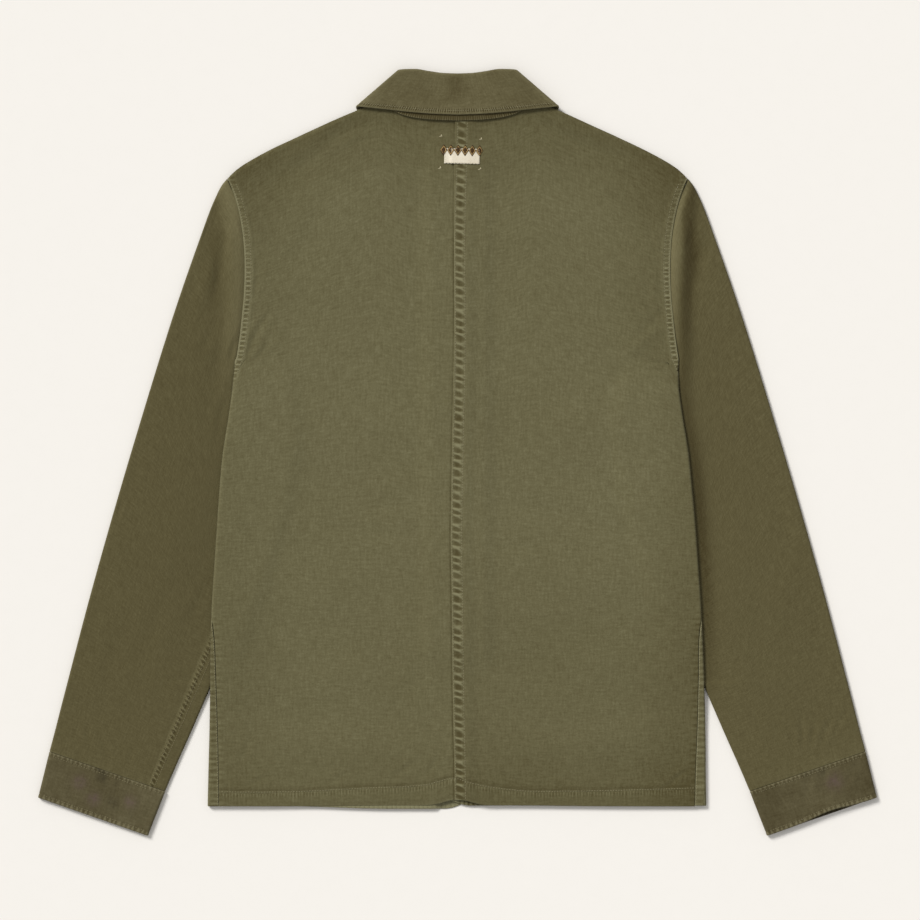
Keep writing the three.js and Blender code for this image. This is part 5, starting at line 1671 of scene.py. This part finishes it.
class Needle:
    """Sews stitches on some pieces and joins them in one mesh."""

    def __init__(self, name, trees, from_above=True, seed=1):
        self.name = name
        self.trees = trees
        self.from_above = from_above
        self.lift, self.bow = (0.06, 0.12) if from_above else (-0.3, 0.03)
        self.rng = np.random.RandomState(seed)
        self.steepest = 1.2
        self.places = []

    def sew(self, path, pitch=2.7, long=2.0, gauge=0.36):
        spots = resampled(path, pitch)
        ways = np.gradient(spots, axis=0) if len(spots) > 1 else np.diff(path, axis=0)[:1]
        for spot, way in zip(spots, ways):
            spot = spot + self.rng.normal(0, 0.09, 2)
            way = way / np.hypot(*way)
            self.one(spot, way, long * self.rng.uniform(0.85, 1.1), gauge)

    def one(self, spot, way, long, gauge):
        ends = [touch(self.trees, *(spot + way * long * k), self.from_above) for k in (-0.4, 0.4)]
        if ends[0] is None or ends[1] is None:
            return
        (a, na), (b, nb) = ends
        if abs(a[2] - b[2]) > self.steepest:
            return
        axis = b - a
        axis = axis / np.linalg.norm(axis)
        up = na + nb
        side = np.cross(up, axis)
        side = side / np.linalg.norm(side)
        up = np.cross(axis, side)
        shape = STITCH[0] * np.array([long, gauge, gauge * 0.8])
        arch = self.bow * (1 - (2 * STITCH[0][:, :1]) ** 2)
        middle = (a + b) / 2 + up * self.lift
        self.places.append(middle + shape @ np.array([axis, side, up]) + arch * up)

    def build(self, material, slot):
        count = len(self.places)
        size = len(STITCH[0])
        faces = np.concatenate([STITCH[1] + k * size for k in range(count)])
        piece = mesh_piece(self.name, np.concatenate(self.places), faces)
        return dress(piece, material)


def line(function, start, end):
    """A line in plan from a function of y."""
    ys = spaced(start, end, 4.0)
    return np.stack([function(ys), ys], axis=-1)


def sew_back(trees):
    seam = Needle("stitches_centre_back", trees, seed=2)
    for inset in (FELL["first"], FELL["second"]):
        seam.sew(line(lambda y: seam_edge(y) + inset, 336, HEM_LEVEL + 7))
    seam.build(body_thread, "body_twill")
    for sign, side in SIDES:
        arm = Needle("stitches_armhole_" + side, trees, seed=3 + sign)
        for inset in (ARM_FELL["first"], ARM_FELL["second"]):
            arm.sew(line(lambda y: sign * (armhole_line(y) - inset), 274, 80))
        arm.build(body_thread, "body_twill")
    hem = Needle("stitches_hem_back", trees, seed=6)
    xs = spaced(-244, 242, 4)
    hem.sew(np.stack([xs, column(HEM_LINE, "x", "y", xs)], axis=-1))
    hem.build(body_thread, "body_twill")


def sew_sides(trees):
    for sign, side in SIDES:
        needle = Needle("stitches_side_" + side, trees, seed=8 + sign)

        def seam(y, off):
            _, _, start = side_turn(sign, y)
            return sign * (start + seam_place(sign, y) + off)

        needle.sew(line(lambda y: seam(y, 1.1), -170, HEM_LEVEL + 3))
        needle.build(body_thread, "body_twill")


def sew_sleeves(trees):
    for sign, side in SIDES:
        shares = np.linspace(0.55, 0.995, 60)
        inner, outer = inner_fold(shares), outer_fold(shares)
        width = np.hypot(outer[0] - inner[0], outer[1] - inner[1])
        above = sign < 0
        needle = Needle("stitches_underarm_" + side, trees[side], above, seed=12 + sign)
        for off in (UNDERARM_FELL["first"], UNDERARM_FELL["second"]):
            inset = UNDERARM_INSET[sign] + off
            x = mix(inner[0], outer[0], inset / width)
            y = mix(inner[1], outer[1], inset / width)
            needle.sew(np.stack([sign * x, y], axis=-1))
        needle.build(sleeve_thread, "sleeve_twill")


def sew_cuffs(trees):
    start, end = (outer_fold(1.0), inner_fold(1.0)), (CUFF_END["outer"], CUFF_END["inner"])
    for sign, side in SIDES:
        for face, above in (("top", True), ("under", False)):
            name = "stitches_cuff_" + face + "_" + side
            needle = Needle(name, trees[side], above, seed=16 + sign)
            upper, lower = (CUFF_ROWS[row] / CUFF_DEPTH for row in ("upper", "lower"))
            for down in (upper, 1 - lower):
                shares = np.linspace(0.03, 0.97, 30)
                edge = [mix(start[0][k], end[0][k], down) for k in range(2)]
                far = [mix(start[1][k], end[1][k], down) for k in range(2)]
                x, y = (mix(edge[k], far[k], shares) for k in range(2))
                if sign > 0 and above and down > 0.5:
                    mouth = bell(shares - CUFF_MOUTH["at"], CUFF_MOUTH["wide"])
                    y = y + CUFF_MOUTH["back"] * mouth * 0.8
                needle.sew(np.stack([sign * x, y], axis=-1))
            needle.build(sleeve_thread, "sleeve_twill")


def sew_collar(trees):
    needle = Needle("stitches_collar", trees, seed=20)
    fold_start, fold_end = COLLAR_FOLD
    edge_x, edge_y = (COLLAR[key][:fold_start + 1] for key in ("edge_x", "edge_y"))
    xs = spaced(-99, 99, 3)
    ys = hermite(edge_x, edge_y, np.abs(xs)) + 3.9
    needle.sew(np.stack([xs, ys], axis=-1), pitch=2.4, long=1.75)
    needle.build(body_thread, "collar_twill")
    under = Needle("stitches_collar_front", trees, False, seed=21)
    for sign in (-1, 1):
        a, c = (
            np.stack([COLLAR[key + "_x"][fold_end:], COLLAR[key + "_y"][fold_end:]], axis=-1)
            for key in ("edge", "crease")
        )
        inset = a + (c - a) * 4.0 / np.linalg.norm(c - a, axis=-1, keepdims=True)
        under.sew(inset * np.array([sign, 1]))
        tip = [mix(c[-1], a[-1], share) + np.array([3.0, 4.0]) for share in (0.12, 0.9)]
        under.sew(np.array(tip) * np.array([sign, 1]))
    under.build(body_thread, "collar_twill")


def sew_fronts(trees):
    """Rows seen from below: both edges of the placket, and the hem."""
    needle = Needle("stitches_fronts", trees, False, seed=24)
    for inset in (2.5, 33):
        needle.sew(line(lambda y: 0 * y + (inset - FRONT_LAP), 226, HEM_LEVEL + 10))
    xs = spaced(-240, 240, 5)
    needle.sew(np.stack([xs, 0 * xs + HEM_LEVEL + HEM_DEPTH], axis=-1))
    needle.build(body_thread, "body_twill")


def sew_label(trees):
    turn = math.radians(LABEL["turn"])

    def at(u, v):
        x = LABEL["x"] + u * math.cos(turn) - v * math.sin(turn)
        return np.array([x, LABEL["y"] + u * math.sin(turn) + v * math.cos(turn)])

    wide, tall = LABEL["width"] / 2 - 0.9, LABEL["height"] / 2 - 0.9
    corners = [at(-wide, -tall), at(wide, -tall), at(wide, tall), at(-wide, tall)]
    corners.append(corners[0])
    edge = Needle("stitches_label", trees, seed=26)
    for a, b in zip(corners, corners[1:]):
        edge.sew(np.array([a, b]), pitch=1.9, long=1.3, gauge=0.16)
    edge.build(cream_thread, "label_tape")
    tacks = Needle("tacks_label", trees, seed=27)
    for x, y in ((-16.8, 322.3), (24, 319.3), (-17.8, 289.7), (23, 288.7)):
        for dx, dy, way in ((0, 0, 75), (0.7, 0.3, 100), (-0.8, -0.4, 20)):
            angle = math.radians(way)
            spot = np.array([x + dx, y + dy])
            tacks.one(spot, np.array([math.cos(angle), math.sin(angle)]), 2.6, 0.24)
    tacks.build(cream_thread, "label_tape")
    # A plain row of stitched diamonds along the label's upper edge.
    ground = Needle("stitches_ground", trees, seed=28)
    motif = Needle("stitches_diamonds", trees, seed=29)
    ground.steepest = motif.steepest = 2.6
    diamonds, spacing, level = 6, 7.3, 5.9
    for k in range(diamonds):
        middle = (k - (diamonds - 1) / 2) * spacing - 0.6
        for row in np.linspace(-5.2, 5.2, 15):
            long = 0.8 + 7.4 * (1 - abs(row) / 5.6)
            ground.one(at(middle, level + row), np.array([1.0, 0.04]), long, 0.5)
        tips = [(0, 4.2), (2.7, 0), (0, -4.2), (-2.7, 0), (0, 4.2)]
        points = [at(middle + u, level + v) for u, v in tips]
        for a, b in zip(points, points[1:]):
            motif.sew(np.array([a, b]), pitch=1.1, long=1.7, gauge=0.62)
    ground.build(brown_thread, "label_tape")
    motif.build(gold_thread, "label_tape")


# Buttons
def button_model():
    """A four-hole nut button: a rounded rim round a dished middle, under side up."""
    bpy.ops.object.select_all(action="DESELECT")
    radius, thick = BUTTON_ACROSS / 2 * MM, BUTTON_THICK * MM
    bpy.ops.mesh.primitive_cylinder_add(
        vertices=64, radius=radius, depth=thick, location=(0, 0, thick / 2)
    )
    button = bpy.context.object
    bpy.ops.object.mode_set(mode="EDIT")
    shape = bmesh.from_edit_mesh(button.data)
    for face in shape.faces:
        face.select = face.normal.z < -0.9
    bmesh.update_edit_mesh(button.data)
    bpy.ops.mesh.inset(thickness=1.6 * MM, depth=0)
    bpy.ops.mesh.inset(thickness=0.9 * MM, depth=-0.55 * MM)
    bpy.ops.object.mode_set(mode="OBJECT")
    rim = button.modifiers.new("rim", "BEVEL")
    rim.width, rim.segments, rim.angle_limit = 0.5 * MM, 3, math.radians(25)
    bpy.ops.object.modifier_apply(modifier="rim")
    for x, y in ((1, 1), (1, -1), (-1, 1), (-1, -1)):
        bpy.ops.mesh.primitive_cylinder_add(
            vertices=20, radius=0.9 * MM, depth=8 * MM,
            location=(1.7 * x * MM, 1.7 * y * MM, 0),
        )
        drill = bpy.context.object
        bpy.ops.object.select_all(action="DESELECT")
        button.select_set(True)
        bpy.context.view_layer.objects.active = button
        hole = button.modifiers.new("hole", "BOOLEAN")
        hole.operation, hole.object, hole.solver = "DIFFERENCE", drill, "EXACT"
        bpy.ops.object.modifier_apply(modifier="hole")
        bpy.data.objects.remove(drill)
    bpy.ops.object.shade_smooth_by_angle(angle=math.radians(35))
    return button


def sew_buttons():
    model = button_model()
    bpy.ops.object.select_all(action="DESELECT")
    for i, level in enumerate(BUTTON_LEVELS):
        copy = model.copy()
        copy.data = model.data.copy()
        copy.name = "button_nut_%d" % (i + 1)
        middle = (np.array([0, level, 0]) + plan_shift) * MM
        copy.data.transform(Matrix.Translation(Vector(middle.tolist())))
        bpy.context.scene.collection.objects.link(copy)
        dress(copy, button_nut)
        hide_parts("button_%d" % (i + 1))
    bpy.data.objects.remove(model)


# Assembly
def cut_piece(shell, name, node, material, slot):
    """Builds a cut piece in place of one node."""
    piece = shell.build(name, material, slot)
    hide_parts(node)
    return piece


made = {}
for sign, side in SIDES:
    made["back_" + side] = cut_piece(
        back_panel(sign), "back_cloth_" + side, "back_" + side, body_cloth, "body_twill",
    )
    made["front_" + side] = cut_piece(
        front_panel(sign), "front_cloth_" + side, "front_" + side, body_cloth, "body_twill",
    )
    made["sleeve_" + side] = cut_piece(
        sleeve(sign), "sleeve_cloth_" + side, "sleeve_" + side, sleeve_cloth, "sleeve_twill",
    )
    made["cuff_" + side] = cut_piece(
        cuff(sign), "cuff_cloth_" + side, "cuff_" + side, cuff_cloth, "sleeve_twill",
    )
made["collar"] = cut_piece(
    collar_leaf(), "collar_cloth", "collar_leaf", collar_cloth, "collar_twill",
)
made["stand"] = cut_piece(
    collar_stand(), "stand_cloth", "collar_stand", collar_cloth, "collar_twill",
)
made["label"] = cut_piece(
    label_patch(), "label_cloth", "label", cream_tape, "label_tape",
)

trees = {name: tree_of(piece) for name, piece in made.items()}
backs = [trees["back_left"], trees["back_right"]]
fronts = [trees["front_left"], trees["front_right"]]
sew_back(backs)
sew_sides(fronts)
sew_sleeves({side: [trees["sleeve_" + side]] for side in ("left", "right")})
sew_cuffs({side: [trees["cuff_" + side]] for side in ("left", "right")})
sew_collar([trees["collar"]])
sew_fronts(fronts)
sew_label(backs + [trees["label"]])
sew_buttons()


# Floor, light and camera
def floor():
    bpy.ops.object.select_all(action="DESELECT")
    bpy.ops.mesh.primitive_plane_add(size=14, location=(0, 0, -0.0002))
    surface = bpy.context.object
    surface.name = "paper_floor"
    material, w, shader = new_material("pale paper")
    speck = w.noise(w.where(), 60.0, 3.0, 0.6)
    tint = w.blend(speck, srgb(242, 239, 234, 0.965), srgb(244, 241, 236, 0.965))
    w.join(tint, shader.inputs["Base Color"])
    shader.inputs["Roughness"].default_value = 0.95
    shader.inputs["Specular IOR Level"].default_value = 0.1
    surface.data.materials.append(material)


def light():
    key = bpy.data.lights.new("window", "SUN")
    key.energy = 2.9
    key.angle = math.radians(20)
    key.color = (1.0, 0.985, 0.96)
    lamp = bpy.data.objects.new("window", key)
    aim = Vector((0.62, -0.66, -0.72))
    lamp.rotation_euler = aim.to_track_quat("-Z", "Y").to_euler()
    bpy.context.scene.collection.objects.link(lamp)
    world = bpy.data.worlds.new("pale room")
    world.use_nodes = True
    world.node_tree.nodes["Background"].inputs["Color"].default_value = (1.0, 0.995, 0.985, 1)
    world.node_tree.nodes["Background"].inputs["Strength"].default_value = 0.5
    bpy.context.scene.world = world


def camera():
    """Straight down on the middle of the picture."""
    view_width, high, sensor, cloth_height = 0.9384, 5.0, 36.0, 0.005
    data = bpy.data.cameras.new("camera")
    data.sensor_width = sensor
    data.lens = sensor * (high - cloth_height) / view_width
    eye = bpy.data.objects.new("camera", data)
    eye.location = (0.00255, -0.0078, high)
    bpy.context.scene.collection.objects.link(eye)
    bpy.context.scene.camera = eye


floor()
light()
camera()
bpy.context.scene.view_settings.view_transform = "Standard"
